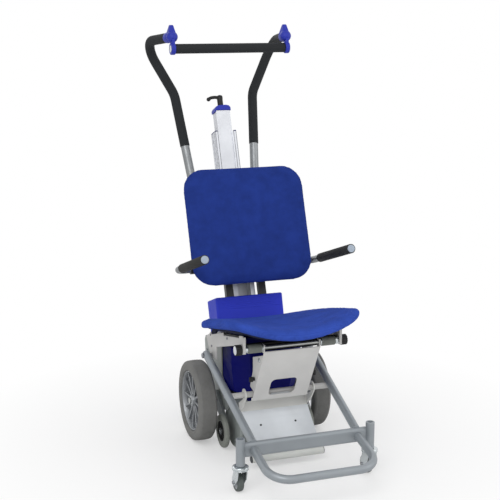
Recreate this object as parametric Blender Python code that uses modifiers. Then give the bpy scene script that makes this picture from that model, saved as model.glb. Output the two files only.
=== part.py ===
"""Portable stair climber with a seat, in metres, +Z up, the seat facing -Y, the sitter's right at -X.

The model is laid out from a point between the wheels, a little ahead of the main axle, with z = 0 on
the floor. Everything then hangs from one empty that moves the box's middle onto the origin.
"""

from math import atan2, cos, degrees, pi, radians, sin, sqrt, tan

import bmesh
import bpy
from mathutils import Matrix, Vector

# Fits
GAP = 0.0003
RUN = 0.0005

# Lean of the mast, the handles and the backrest from the vertical
LEAN = radians(20.5)
MAST_FOOT_Y = -0.0285

# Main wheels
AXLE_Y = 0.048
WHEEL_R = 0.1315
WHEEL_X = 0.1965
TYRE_W = 0.060
RIM_R = 0.098
RIM_W = 0.050
RIM_BAND = 0.006
SPOKES = 12
SPOKE_W = 0.006
SPOKE_T = 0.006
WHEEL_HUB_R = 0.021
WHEEL_HUB_W = 0.044
AXLE_R = 0.010

# Climbing crank
CRANK_TUBE_R = 0.017
ARM_T = 0.009
ARM_BOSS_R = 0.026
ARM_END_R = 0.016
CLIMB_Y = -0.060
CLIMB_Z = 0.0565
CLIMB_R = 0.0545
CLIMB_HUB_R = 0.033
CLIMB_W = 0.016
CLIMB_PIN_R = 0.006

# Gears
GEAR_TEETH = 42
PINION_TEETH = 14
GEAR_MODULE = 0.003
GEAR_T = 0.014
PINION_BACK = -0.035
CASE_OUT = 0.072
MOTOR_R = 0.028
MOTOR_LENGTH = 0.112
HOUSING_Y = -0.075
HOUSING_Z = 0.084
HOUSING_R = 0.080
HOUSING_OUT = 0.117
HOUSING_EDGE = 0.007

# Chassis
PLATE_X = 0.119
PLATE_T = 0.004
CASE_WALL = 0.004
CASE_ROOM = 0.002
COVER_T = 0.003
DECK_UP = 0.3617
DECK_T = 0.005
DECK_BACK = 0.062
DECK_FRONT = 0.060
PLATE_FRONT_Y = 0.018
COVER_FRONT_Y = -0.125
COVER_BOTTOM_Z = 0.182
COVER_TOP_Z = 0.335

# Castor frame
RAIL_R = 0.0125
RAIL_X = 0.176
RAIL_LOW_X = 0.165
RAIL_PIN_Y = 0.008
RAIL_PIN_Z = 0.2942
RAIL_PIN_R = 0.006
RAIL_SLOPE = 0.356
RAIL_OVER = 0.009
RAIL_END_Y = -0.403
CROSS_Y = -0.181
CROSS_Z = 0.215
CROSS_R = 0.0095
CASTOR_X = 0.207
CASTOR_Y = -0.414
SOCKET_R = 0.0135
SOCKET_LOW_Z = 0.0865
SOCKET_TOP_Z = 0.170
STEM_R = 0.008
BAR_Y = -0.405
BAR_Z = 0.1305
BAR_DEEP = 0.020
BAR_TALL = 0.045
LOOP_X = 0.166
LOOP_FRONT_Y = -0.573
LOOP_FRONT_Z = 0.095
LOOP_BEND_R = 0.065

# Castors
CASTOR_R = 0.0285
CASTOR_W = 0.022
CASTOR_TRAIL = 0.020
FORK_CROWN_R = 0.0235
FORK_CROWN_T = 0.012
FORK_LEG_T = 0.003

# Seat carrier
BRACKET_X = 0.1575
BRACKET_T = 0.004
SHAFT_Y = -0.286
SHAFT_Z = 0.396
SHAFT_R = 0.006
KNOB_R = 0.0165
KNOB_W = 0.020
SLEEVE_R = 0.0135
BEAM_LOW_Z = 0.380
BEAM_TOP_Z = 0.4055
CALF_HALF_X = 0.091
CALF_LOW_Y = -0.189
CALF_LOW_Z = 0.196
SLOT_HALF_X = 0.043
SLOT_LOW = 0.017
SLOT_TALL = 0.072

# Foot plate
FOOT_HALF_X = 0.115
FOOT_TOP_Y = -0.1313
FOOT_TOP_Z = 0.1734
FOOT_FOLD_Y = -0.139
FOOT_FOLD_Z = 0.1435
FOOT_LOW_Y = -0.262
FOOT_LOW_Z = 0.034
LIP_R = 0.012
HOOK_R = 0.0195
EAR_UPRIGHT = 0.015
SHEET_T = 0.003

# Seat
SEAT_HALF_X = 0.209
SEAT_REAR_Y = 0.035
SEAT_FRONT_Y = -0.385
SEAT_REAR_TOP_Z = 0.400
SEAT_RISE = 0.157
SEAT_SIDE_LIFT = 0.0126
SEAT_SIDE_RISE = 0.107
SEAT_SQUARENESS = 6.0
SEAT_PAD_T = 0.030
SEAT_BOARD_T = 0.006
SEAT_PIVOT_Y = 0.020
SEAT_PIVOT_Z = 0.358

# Backrest, measured up along the mast and back from its front face
BACK_HALF_X = 0.210
BACK_LOW = 0.499
BACK_HIGH = 0.892
BACK_CORNER_R = 0.072
BACK_PAD_REAR = -0.083
BACK_PAD_T = 0.050
BACK_BOARD_T = 0.012
BACK_BAR_IN = 0.045
BACK_BAR_OUT = 0.070
BACK_BAR_NEAR = -0.020
BACK_BAR_FAR = 0.001
BACK_BAR_TOP = 0.880
STRAP_TALL = 0.030

# Battery, along the same directions
BATTERY_HALF_X = 0.117
BATTERY_TOP = 0.4727
BATTERY_REAR = 0.057
BATTERY_FRONT = -0.044

# Armrests
BACK_TO_ARM = 0.029
ARM_X = BACK_HALF_X + BACK_TO_ARM
ARM_PIVOT_Y = 0.125
ARM_PIVOT_Z = 0.553
ARM_FRONT_Y = -0.187
ARM_FRONT_Z = 0.656
ARM_TUBE_R = 0.012
ARM_FOAM_R = 0.015
ARM_BEND_R = 0.028
BEARING_R = 0.016
ARM_IN_BEARING = 0.070
FOAM_FROM_BEND = 0.068

# Mast
MAST_W = 0.076
MAST_D = 0.048
MAST_LOW = DECK_UP + GAP
MAST_TOP = 1.043
MAST_LIP = 0.003
MAST_REAR_WALL = 0.004
COLUMN_W = 0.050
COLUMN_D = 0.040
COLUMN_WALL = 0.003
COLUMN_LOW = 0.560
COLUMN_SHOWN = 0.075
CAP_H = 0.018
LEVER_R = 0.0105
LEVER_H = 0.038
LEVER_REACH = 0.040

# Handles
HANDLE_R = 0.015
HANDLE_WALL = 0.002
GRIP_R = 0.0162
HANDLE_BACK = 0.082
HANDLE_LOW = 0.660
HANDLE_LOW_X = 0.0923
HANDLE_SPLAY = 0.0937
GRIP_FROM = 1.0154
BEND_UP = 1.199
TOP_BEND = (0.237, 0.516, 1.273)
HANDLE_END = (0.2000, 0.300, 1.2950)
GRIP_BAR_Y = 0.282
GRIP_BAR_Z = 1.258
GRIP_BAR_R = 0.016
KNUCKLE_X = 0.198
RING_IN = 0.0065
RING_OUT = 0.0085
FIN_TOP_Z = 1.335
TOP_BEND_R = 0.062

# Box of the whole object along Y, which puts the origin in its middle
FRONT_Y = LOOP_FRONT_Y - RAIL_R
REAR_Y = 0.5156


def empty_scene():
    for old in list(bpy.data.objects):
        bpy.data.objects.remove(old, do_unlink=True)


def collection(name, hidden=False):
    made = bpy.data.collections.new(name)
    bpy.context.scene.collection.children.link(made)
    made.hide_render = hidden
    return made


empty_scene()
PARTS = collection("portable_stair_climber")
CUTTERS = collection("cutters", hidden=True)


def finish(name, colour, roughness, metallic=0.0):
    made = bpy.data.materials.new(name)
    made.use_nodes = True
    shader = made.node_tree.nodes["Principled BSDF"]
    shader.inputs["Base Color"].default_value = (*colour, 1.0)
    shader.inputs["Roughness"].default_value = roughness
    shader.inputs["Metallic"].default_value = metallic
    return made


BLUE_FABRIC = ("blue_fabric", (0.035, 0.055, 0.25), 0.9)
BLUE_PLASTIC = ("blue_plastic", (0.035, 0.045, 0.38), 0.35)
DARK_BLUE = ("dark_blue_plastic", (0.01, 0.012, 0.12), 0.4)
BLACK_PLASTIC = ("black_plastic", (0.015, 0.015, 0.016), 0.45)
FOAM = ("black_foam", (0.03, 0.032, 0.034), 0.85)
SILVER = ("silver_paint", (0.42, 0.45, 0.48), 0.4, 0.6)
SHEET = ("light_grey_paint", (0.55, 0.54, 0.52), 0.45, 0.2)
ALUMINIUM = ("aluminium", (0.68, 0.70, 0.73), 0.35, 0.9)
STEEL = ("steel", (0.55, 0.56, 0.57), 0.3, 1.0)
CAST = ("dark_casting", (0.06, 0.065, 0.07), 0.55, 0.4)
RUBBER = ("grey_rubber", (0.15, 0.145, 0.14), 0.8)
DARK_RUBBER = ("dark_rubber", (0.05, 0.052, 0.045), 0.8)
BOARD = ("black_board", (0.02, 0.02, 0.02), 0.7)


# Helpers for shapes

def add(name, data, material, group=None):
    made = bpy.data.objects.new(name, data)
    (group or PARTS).objects.link(made)
    if material:
        made.data.materials.append(finish(name + "_" + material[0], *material[1:]))
    return made


def mesh_from(name, work, material=None, group=None):
    bmesh.ops.recalc_face_normals(work, faces=work.faces)
    data = bpy.data.meshes.new(name)
    work.to_mesh(data)
    work.free()
    return add(name, data, material, group)


def box(name, low, high, material=None, group=None):
    """A box between two corners, with its origin in its middle."""
    low = Vector(low)
    high = Vector(high)
    work = bmesh.new()
    bmesh.ops.create_cube(work, size=1.0)
    bmesh.ops.scale(work, vec=high - low, verts=work.verts)
    made = mesh_from(name, work, material, group)
    made.location = (low + high) / 2
    return made


def round_edges(obj, width, segments=2, angle=30):
    bevel = obj.modifiers.new("rounded_edges", "BEVEL")
    bevel.width = width
    bevel.segments = segments
    bevel.limit_method = "ANGLE"
    bevel.angle_limit = radians(angle)
    return obj


def smooth(obj, angle=35):
    """Round faces shade smooth and corners stay sharp."""
    obj.data.shade_smooth()
    obj.data.set_sharp_from_angle(angle=radians(angle))
    return obj


def turned(name, profile, material=None, steps=24, closed=False, axis="X", at=(0, 0, 0), group=None):
    """A profile of (radius, height) points turned about an axis; the outer side runs from the top down."""
    work = bmesh.new()
    verts = [work.verts.new((radius, 0, height)) for radius, height in profile]
    for first, second in zip(verts, verts[1:]):
        work.edges.new((first, second))
    if closed:
        work.edges.new((verts[-1], verts[0]))
    data = bpy.data.meshes.new(name)
    work.to_mesh(data)
    work.free()
    made = add(name, data, material, group)
    screw = made.modifiers.new("turned", "SCREW")
    screw.steps = steps
    screw.render_steps = steps
    screw.use_merge_vertices = True
    screw.merge_threshold = 0.00001
    made.location = at
    if axis == "X":
        made.rotation_euler = (0, pi / 2, 0)
    return made


def rod(name, radius, start, end, material=None, steps=16, group=None):
    """A round bar between two points."""
    start = Vector(start)
    end = Vector(end)
    half = (end - start).length / 2
    made = turned(name, [(0, half), (radius, half), (radius, -half), (0, -half)], material, steps,
                  axis="Z", at=(start + end) / 2, group=group)
    made.rotation_euler = (end - start).to_track_quat("Z", "Y").to_euler()
    return made


def ring_profile(inner, outer, low, high):
    return [(outer, high), (outer, low), (inner, low), (inner, high)]


def arc(centre, radius, start, end, steps):
    """Points on an arc in a plane, angles in degrees."""
    return [(centre[0] + radius * cos(radians(start + (end - start) * i / steps)),
             centre[1] + radius * sin(radians(start + (end - start) * i / steps)))
            for i in range(steps + 1)]


def rounded_path(corners, radii, step=15):
    """The corners of a bent tube with each inner corner turned into an arc."""
    corners = [Vector(corner) for corner in corners]
    path = [corners[0]]
    for before, corner, after, radius in zip(corners, corners[1:], corners[2:], radii):
        incoming = (before - corner).normalized()
        outgoing = (after - corner).normalized()
        half = incoming.angle(outgoing) / 2
        reach = radius / tan(half)
        centre = corner + (incoming + outgoing).normalized() * radius / sin(half)
        start = corner + incoming * reach - centre
        turn = pi - 2 * half
        axis = start.cross(corner + outgoing * reach - centre).normalized()
        steps = max(2, round(degrees(turn) / step))
        for i in range(steps + 1):
            path.append(centre + Matrix.Rotation(turn * i / steps, 3, axis) @ start)
    path.append(corners[-1])
    return path


def tube(name, path, radius, material=None, resolution=3, wall=0.0, group=None):
    """A bent bar, or a hollow tube where a wall is given."""
    curve = bpy.data.curves.new(name, "CURVE")
    curve.dimensions = "3D"
    curve.bevel_depth = radius
    curve.bevel_resolution = resolution
    curve.use_fill_caps = not wall
    spline = curve.splines.new("POLY")
    spline.points.add(len(path) - 1)
    for point, place in zip(spline.points, path):
        point.co = (*place, 1.0)
    made = add(name, curve, material, group)
    if wall:
        shell = made.modifiers.new("wall", "SOLIDIFY")
        shell.thickness = wall
        shell.offset = -1
    return made


def as_mesh(obj, group=None):
    """The same object as a plain mesh, its caps joined on."""
    graph = bpy.context.evaluated_depsgraph_get()
    data = bpy.data.meshes.new_from_object(obj.evaluated_get(graph))
    work = bmesh.new()
    work.from_mesh(data)
    bmesh.ops.remove_doubles(work, verts=work.verts, dist=0.00001)
    bmesh.ops.recalc_face_normals(work, faces=work.faces)
    work.to_mesh(data)
    work.free()
    name = obj.name
    made = bpy.data.objects.new(name + "_mesh", data)
    made.matrix_world = obj.matrix_world.copy()
    (group or obj.users_collection[0]).objects.link(made)
    bpy.data.objects.remove(obj, do_unlink=True)
    made.name = name
    return made


def outline(name, points, half, material=None, holes=(), group=None):
    """A flat shape with holes, standing in the YZ plane, thick along X, from (y, z) points."""
    curve = bpy.data.curves.new(name, "CURVE")
    curve.dimensions = "2D"
    curve.fill_mode = "BOTH"
    curve.extrude = half
    for ring in (points, *holes):
        spline = curve.splines.new("POLY")
        spline.points.add(len(ring) - 1)
        for point, place in zip(spline.points, ring):
            point.co = (*place, 0.0, 1.0)
        spline.use_cyclic_u = True
    made = add(name, curve, material, group)
    made.rotation_euler = (pi / 2, 0, pi / 2)
    bpy.context.view_layer.update()
    return smooth(as_mesh(made, group))


def cutter(obj):
    """Sets a shape aside for a Boolean; it hangs from the same empty as the piece that it shapes."""
    obj.parent = BASE
    obj.hide_render = True
    obj.display_type = "WIRE"
    for holder in list(obj.users_collection):
        holder.objects.unlink(obj)
    CUTTERS.objects.link(obj)
    return obj


def cut(obj, *tools):
    for tool in tools:
        boolean = obj.modifiers.new("cut", "BOOLEAN")
        boolean.operation = "DIFFERENCE"
        boolean.solver = "EXACT"
        boolean.object = cutter(tool)
    return obj


def join(obj, *tools):
    for tool in tools:
        boolean = obj.modifiers.new("join", "BOOLEAN")
        boolean.operation = "UNION"
        boolean.solver = "EXACT"
        boolean.object = cutter(tool)
    return obj


# Frames that the pieces hang from

def pivot(name, place, parent=None):
    """An empty on a joint's axis. Pieces keep their own place and move with it."""
    made = bpy.data.objects.new(name, None)
    made.empty_display_size = 0.03
    PARTS.objects.link(made)
    made["axle_frame_place"] = list(place)
    if parent:
        made.parent = parent
        made.location = Vector(place) - Vector(parent["axle_frame_place"])
    else:
        made.location = place
    return made


def hang(parent, *pieces):
    for piece in pieces:
        piece.parent = parent
        piece.matrix_parent_inverse = Matrix.Translation(-Vector(parent["axle_frame_place"]))


def lean_point(x, back, up):
    """A point given across, back from the mast's front face, and up along the mast."""
    return Vector((x, MAST_FOOT_Y + up * sin(LEAN) + back * cos(LEAN), up * cos(LEAN) - back * sin(LEAN)))


def leaned(obj):
    """Turns a piece made in the mast's own directions to its place."""
    turn = Matrix.Translation((0, MAST_FOOT_Y, 0)) @ Matrix.Rotation(-LEAN, 4, "X")
    obj.matrix_world = turn @ obj.matrix_basis
    return obj


def lean_box(name, low, high, material=None, group=None):
    return leaned(box(name, low, high, material, group))


SIDES = ((-1, "right"), (1, "left"))


def sided(side, low_x, high_x):
    return sorted((side * low_x, side * high_x))


def across(side, low, high, low_yz, high_yz):
    """The two corners of a box that lies between two distances from the middle plane."""
    near, far = sided(side, low, high)
    return (near, *low_yz), (far, *high_yz)


# Sizes worked out from the driving ones

AXLE_Z = WHEEL_R
AXLE = (AXLE_Y, AXLE_Z)
PLATE_OUT = PLATE_X + PLATE_T
ARM_IN = PLATE_OUT + 0.002
ARM_OUT = ARM_IN + ARM_T
CLIMB_IN = ARM_OUT + 0.003
CLIMB_OUT = CLIMB_IN + CLIMB_W
GEAR_R = GEAR_TEETH * GEAR_MODULE / 2
PINION_R = PINION_TEETH * GEAR_MODULE / 2
PINION_Y = AXLE_Y + PINION_BACK
PINION_Z = AXLE_Z + sqrt((GEAR_R + PINION_R) ** 2 - PINION_BACK ** 2)
CASE_IN = CASE_OUT - GEAR_T - 2 * CASE_WALL - 8 * CASE_ROOM
GEAR_X = (CASE_IN + CASE_OUT) / 2
BRACKET_IN = BRACKET_X - BRACKET_T / 2
BRACKET_OUT = BRACKET_X + BRACKET_T / 2
BEARING_HALF = BACK_HALF_X - 0.016
COLUMN_TOP = MAST_TOP + COLUMN_SHOWN


# Main wheels

def tyre(side, name):
    half = TYRE_W / 2
    crown = 0.008
    profile = [(WHEEL_R - 0.010, half), (WHEEL_R - 0.002, half - crown), (WHEEL_R, half - 2 * crown),
               (WHEEL_R, 2 * crown - half), (WHEEL_R - 0.002, crown - half), (WHEEL_R - 0.010, -half),
               (RIM_R + GAP, 0.004 - half), (RIM_R + GAP, half - 0.004)]
    return turned("tyre_" + name, profile, RUBBER, 40, True, at=(side * WHEEL_X, *AXLE))


def rim(side, name):
    place = (side * WHEEL_X, *AXLE)
    half = RIM_W / 2
    made = turned("rim_" + name, ring_profile(RIM_R - RIM_BAND, RIM_R, -half, half), ALUMINIUM, 40, True,
                  at=place)
    hub_half = WHEEL_HUB_W / 2
    hub = turned("hub", ring_profile(AXLE_R + GAP, WHEEL_HUB_R, -hub_half, hub_half), None, 24, True,
                 at=place)
    spokes = []
    for i in range(SPOKES):
        angle = 2 * pi * i / SPOKES
        inner = WHEEL_HUB_R - 0.004
        outer = RIM_R - RIM_BAND + 0.003
        spoke = box("spoke", (-SPOKE_T / 2, -SPOKE_W / 2, inner), (SPOKE_T / 2, SPOKE_W / 2, outer))
        turn = Matrix.Translation(place) @ Matrix.Rotation(angle, 4, "X")
        spoke.matrix_world = turn @ spoke.matrix_basis
        spokes.append(spoke)
    return join(made, hub, *spokes)


def wheels():
    for side, name in SIDES:
        spin = pivot("wheel_" + name, (side * WHEEL_X, *AXLE), BASE)
        hang(spin, tyre(side, name), rim(side, name))


# Climbing drive

def toothed(name, teeth, radius, half, at, phase, material=None):
    """A gear wheel cut as a flat outline of straight-flanked teeth."""
    pitch = 2 * pi / teeth
    top = radius + 0.6 * GEAR_MODULE
    root = radius - 0.9 * GEAR_MODULE
    points = []
    for i in range(teeth):
        middle = phase + i * pitch
        for angle, size in ((-0.34, root), (-0.13, top), (0.13, top), (0.34, root)):
            turn = middle + angle * pitch
            points.append((at[1] + size * cos(turn), at[2] + size * sin(turn)))
    made = outline(name, points, half, material)
    made.location.x = at[0]
    return made


def crank_shaft():
    """A hollow shaft round the wheel axle, with the big gear on it."""
    length = ARM_OUT
    made = turned("crank_shaft", ring_profile(AXLE_R + RUN, CRANK_TUBE_R, -length, length), STEEL, 24, True,
                  at=(0, *AXLE))
    toward = atan2(PINION_Z - AXLE_Z, PINION_BACK)
    gear = toothed("gear", GEAR_TEETH, GEAR_R, GEAR_T / 2, (-GEAR_X, *AXLE), toward)
    bore = rod("gear_bore", CRANK_TUBE_R - 0.001, (-CASE_OUT, *AXLE), (-CASE_IN, *AXLE), steps=24)
    cut(gear, bore)
    return join(made, gear)


def crank_arm(side, name):
    heading = degrees(atan2(CLIMB_Z - AXLE_Z, CLIMB_Y - AXLE_Y))
    points = arc(AXLE, ARM_BOSS_R, heading + 75, heading + 285, 14)
    points += arc((CLIMB_Y, CLIMB_Z), ARM_END_R, heading - 75, heading + 75, 10)
    made = outline("crank_arm_" + name, points, ARM_T / 2, CAST)
    made.location.x = side * (ARM_IN + ARM_OUT) / 2
    bore = rod("arm_bore", CRANK_TUBE_R + GAP, (side * (ARM_IN - 0.01), *AXLE),
               (side * (ARM_OUT + 0.01), *AXLE), steps=24)
    pin = rod("climb_pin", CLIMB_PIN_R, (side * (ARM_OUT - 0.002), CLIMB_Y, CLIMB_Z),
              (side * (CLIMB_OUT + 0.001), CLIMB_Y, CLIMB_Z))
    return join(cut(made, bore), pin)


def climb_wheel(side, name):
    place = (side * (CLIMB_IN + CLIMB_OUT) / 2, CLIMB_Y, CLIMB_Z)
    half = CLIMB_W / 2
    hub = turned("climb_hub_" + name, ring_profile(CLIMB_PIN_R + GAP, CLIMB_HUB_R, -half, half),
                 BLACK_PLASTIC, 28, True, at=place)
    edge = 0.004
    profile = [(CLIMB_R - edge, half), (CLIMB_R, half - edge), (CLIMB_R, edge - half),
               (CLIMB_R - edge, -half), (CLIMB_HUB_R + GAP, -half), (CLIMB_HUB_R + GAP, half)]
    tread = turned("climb_tyre_" + name, profile, DARK_RUBBER, 28, True, at=place)
    return hub, tread


def climbing_crank():
    spin = pivot("crank", (0, *AXLE), BASE)
    hang(spin, crank_shaft())
    for side, name in SIDES:
        hang(spin, crank_arm(side, name))
        roller = pivot("climb_wheel_" + name, (side * CLIMB_IN, CLIMB_Y, CLIMB_Z), spin)
        hang(roller, *climb_wheel(side, name))


def case_outline(shrink):
    """The gear case from the side: two rounds joined by straight flanks."""
    big = GEAR_R + GEAR_MODULE + CASE_ROOM + CASE_WALL - shrink
    small = PINION_R + GEAR_MODULE + CASE_ROOM + CASE_WALL - shrink
    heading = degrees(atan2(PINION_Z - AXLE_Z, PINION_BACK))
    spread = degrees(atan2(sqrt((GEAR_R + PINION_R) ** 2 - (big - small) ** 2), big - small))
    points = arc(AXLE, big, heading + spread, heading + 360 - spread, 26)
    return points + arc((PINION_Y, PINION_Z), small, heading - spread, heading + spread, 12)


def gear_case():
    """A flat hollow case round both gears."""
    made = outline("gear_case", case_outline(0), (CASE_OUT - CASE_IN) / 2, CAST)
    made.location.x = -GEAR_X
    room = outline("case_room", case_outline(CASE_WALL), (CASE_OUT - CASE_IN) / 2 - CASE_WALL)
    room.location.x = -GEAR_X
    bore = rod("case_bore", CRANK_TUBE_R + RUN, (-PLATE_OUT, *AXLE), (0, *AXLE), steps=24)
    shaft = rod("case_pinion_bore", STEM_R + RUN, (-GEAR_X, PINION_Y, PINION_Z), (0, PINION_Y, PINION_Z))
    return cut(made, room, bore, shaft)


def drive_housing():
    """A round cast cup bolted on the outer side of the gear case, low in front of the wheels."""
    inner = CASE_OUT + GAP
    half = (HOUSING_OUT - inner) / 2
    hollow_r = HOUSING_R - CASE_WALL
    profile = [(0, CASE_WALL - half), (hollow_r, CASE_WALL - half), (hollow_r, half), (HOUSING_R, half),
               (HOUSING_R, HOUSING_EDGE - half), (HOUSING_R - HOUSING_EDGE, -half), (0, -half)]
    return turned("drive_housing", profile, CAST, 36, at=(-inner - half, HOUSING_Y, HOUSING_Z))


def pinion():
    toward = atan2(AXLE_Z - PINION_Z, -PINION_BACK)
    half_tooth = pi / PINION_TEETH
    made = toothed("drive_pinion", PINION_TEETH, PINION_R, GEAR_T / 2, (-GEAR_X, PINION_Y, PINION_Z),
                   toward + half_tooth, STEEL)
    shaft = rod("pinion_shaft", STEM_R, (-GEAR_X, PINION_Y, PINION_Z),
                (-CASE_IN + GAP, PINION_Y, PINION_Z))
    return join(made, shaft)


def motor():
    start = -CASE_IN + GAP + RUN
    step = 0.010
    half = MOTOR_LENGTH / 2
    profile = [(0, half), (MOTOR_R - 0.004, half), (MOTOR_R, half - 0.004), (MOTOR_R, step - half),
               (MOTOR_R - 0.006, step - half), (MOTOR_R - 0.006, -half), (0, -half)]
    return turned("drive_motor", profile, CAST, 24, at=(start + half, PINION_Y, PINION_Z))


def drive():
    spin = pivot("pinion", (-GEAR_X, PINION_Y, PINION_Z), BASE)
    hang(spin, pinion())
    hang(BASE, gear_case(), drive_housing(), motor())


# Chassis

def wheel_axle():
    reach = WHEEL_X + TYRE_W / 2 - 0.001
    return rod("wheel_axle", AXLE_R, (-reach, *AXLE), (reach, *AXLE), STEEL, 20)


def plate_outline():
    """The side plate from the side, its top edge level with the leaning deck."""
    front = lean_point(0, -DECK_FRONT, DECK_UP)
    rear = lean_point(0, DECK_BACK, DECK_UP)
    return [(rear.y, rear.z), (front.y, front.z), (PLATE_FRONT_Y, front.z), (PLATE_FRONT_Y, 0.215),
            (-0.066, 0.165), (-0.042, 0.118), (0.034, 0.094), (0.118, 0.094), (0.137, 0.130),
            (0.150, 0.200), (0.195, 0.250), (0.200, 0.290), (0.190, 0.305)]


def side_plate(side, name):
    made = outline("side_plate_" + name, plate_outline(), PLATE_T / 2, SHEET)
    made.location.x = side * (PLATE_X + PLATE_T / 2)
    inner = side * (PLATE_X - 0.01)
    outer = side * (PLATE_OUT + 0.01)
    return cut(made, rod("plate_bore", CRANK_TUBE_R + GAP, (inner, *AXLE), (outer, *AXLE), steps=24))


def deck():
    half = PLATE_X - GAP
    return lean_box("deck", (-half, -DECK_FRONT, DECK_UP - DECK_T), (half, DECK_BACK, DECK_UP), SHEET)


def front_cover():
    """A faceted shell that narrows downwards, open behind and below."""
    rear = PLATE_FRONT_Y - 0.002
    wide = PLATE_X - GAP
    levels = ((COVER_TOP_Z, 1.0, 1.0), (COVER_TOP_Z - 0.055, 1.0, 1.0), (COVER_BOTTOM_Z, 0.88, 0.80))
    work = bmesh.new()
    rows = []
    for z, across_share, depth_share in levels:
        front = rear + (COVER_FRONT_Y - rear) * depth_share
        shoulder = rear + (-0.070 - rear) * depth_share
        side_x = wide * across_share
        nose_x = 0.075 * across_share
        rows.append([work.verts.new((x, y, z)) for x, y in
                     ((-wide, rear), (-side_x, shoulder), (-nose_x, front),
                      (nose_x, front), (side_x, shoulder), (wide, rear))])
    for upper, lower in zip(rows, rows[1:]):
        for i in range(len(upper) - 1):
            work.faces.new((upper[i], lower[i], lower[i + 1], upper[i + 1]))
    work.faces.new(rows[0])
    made = mesh_from("front_cover", work, DARK_BLUE)
    shell = made.modifiers.new("wall", "SOLIDIFY")
    shell.thickness = COVER_T
    shell.offset = -1
    return made


def rear_cover():
    """A bent sheet that closes the back between the side plates."""
    half = PLATE_X - GAP
    line = ((0.162, 0.309), (0.186, 0.300), (0.193, 0.286), (0.187, 0.252), (0.142, 0.200), (0.128, 0.133),
            (0.119, 0.104))
    work = bmesh.new()
    rows = [[work.verts.new((x, y, z)) for x in (-half, half)] for y, z in line]
    for upper, lower in zip(rows, rows[1:]):
        work.faces.new((upper[0], upper[1], lower[1], lower[0]))
    made = mesh_from("rear_cover", work, DARK_BLUE)
    shell = made.modifiers.new("wall", "SOLIDIFY")
    shell.thickness = COVER_T
    shell.offset = 0
    return made


def chassis():
    hang(BASE, wheel_axle(), deck(), front_cover(), rear_cover())
    for side, name in SIDES:
        hang(BASE, side_plate(side, name))


# Castor frame

def rail_place(side, y):
    """A point on a rail's middle line; both rails come closer together to the front."""
    share = (RAIL_PIN_Y - y) / (RAIL_PIN_Y - RAIL_END_Y)
    x = RAIL_X + (RAIL_LOW_X - RAIL_X) * share
    return side * x, y, RAIL_PIN_Z + RAIL_SLOPE * (y - RAIL_PIN_Y)


def bar_section(grow):
    half_y = BAR_DEEP / 2 + grow
    straight = (BAR_TALL - BAR_DEEP) / 2
    points = arc((BAR_Y, BAR_Z + straight), half_y, 0, 180, 8)
    return points + arc((BAR_Y, BAR_Z - straight), half_y, 180, 360, 8)


def rail(side, name):
    """A sloping tube with the cross tube's bolt in its side; its lower end is coped to the oval bar."""
    ends = [rail_place(side, RAIL_PIN_Y + RAIL_OVER), rail_place(side, RAIL_END_Y)]
    made = as_mesh(tube("rail_" + name, ends, RAIL_R, SILVER, 4))
    eye = rod("rail_eye", RAIL_PIN_R + GAP, (side * (RAIL_X - 0.03), RAIL_PIN_Y, RAIL_PIN_Z),
              (side * (RAIL_X + 0.03), RAIL_PIN_Y, RAIL_PIN_Z))
    x = abs(rail_place(side, CROSS_Y)[0])
    bolt = rod("rail_bolt", 0.0055, (side * (x - 0.002), CROSS_Y, CROSS_Z + 0.002),
               (side * (x + 0.0095), CROSS_Y, CROSS_Z + 0.002), steps=12)
    cope = outline("rail_cope", bar_section(GAP), CASTOR_X)
    return cut(join(made, bolt), eye, cope)


def cross_tube():
    """A thin tube whose ends are coped to the undersides of the rails."""
    reach = rail_place(1, CROSS_Y)[0] - 0.005
    made = rod("cross_tube", CROSS_R, (-reach, CROSS_Y, CROSS_Z), (reach, CROSS_Y, CROSS_Z), SHEET, 20)
    for side in (-1, 1):
        ends = (rail_place(side, CROSS_Y + 0.08), rail_place(side, CROSS_Y - 0.08))
        cut(made, rod("cope", RAIL_R + 2 * GAP, *ends, steps=32))
    return made


def front_bar():
    """A flat oval tube from one castor socket to the other, with both sockets welded on."""
    made = outline("front_bar", bar_section(0), CASTOR_X - SOCKET_R + 0.006, SILVER)
    bores = []
    for side in (-1, 1):
        place = (side * CASTOR_X, CASTOR_Y)
        join(made, rod("socket", SOCKET_R, (*place, SOCKET_LOW_Z), (*place, SOCKET_TOP_Z), steps=24))
        bores.append(rod("socket_bore", STEM_R + RUN, (*place, 0.05), (*place, 0.20), steps=16))
    return cut(made, *bores)


def foot_loop():
    start_y = BAR_Y - BAR_DEEP / 2 - GAP
    start_z = BAR_Z - 0.002
    stub = 0.012
    corners = []
    for side in (-1, 1):
        leg = [(side * LOOP_X, start_y, start_z), (side * LOOP_X, start_y - stub, start_z),
               (side * LOOP_X, LOOP_FRONT_Y, LOOP_FRONT_Z)]
        corners += leg if side < 0 else leg[::-1]
    path = rounded_path(corners, (0.02, LOOP_BEND_R, LOOP_BEND_R, 0.02), 18)
    return tube("foot_loop", path, RAIL_R, SILVER, 4)


def castor_frame():
    hang(BASE, cross_tube(), front_bar(), foot_loop())
    for side, name in SIDES:
        hang(BASE, rail(side, name))


# Castors

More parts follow.
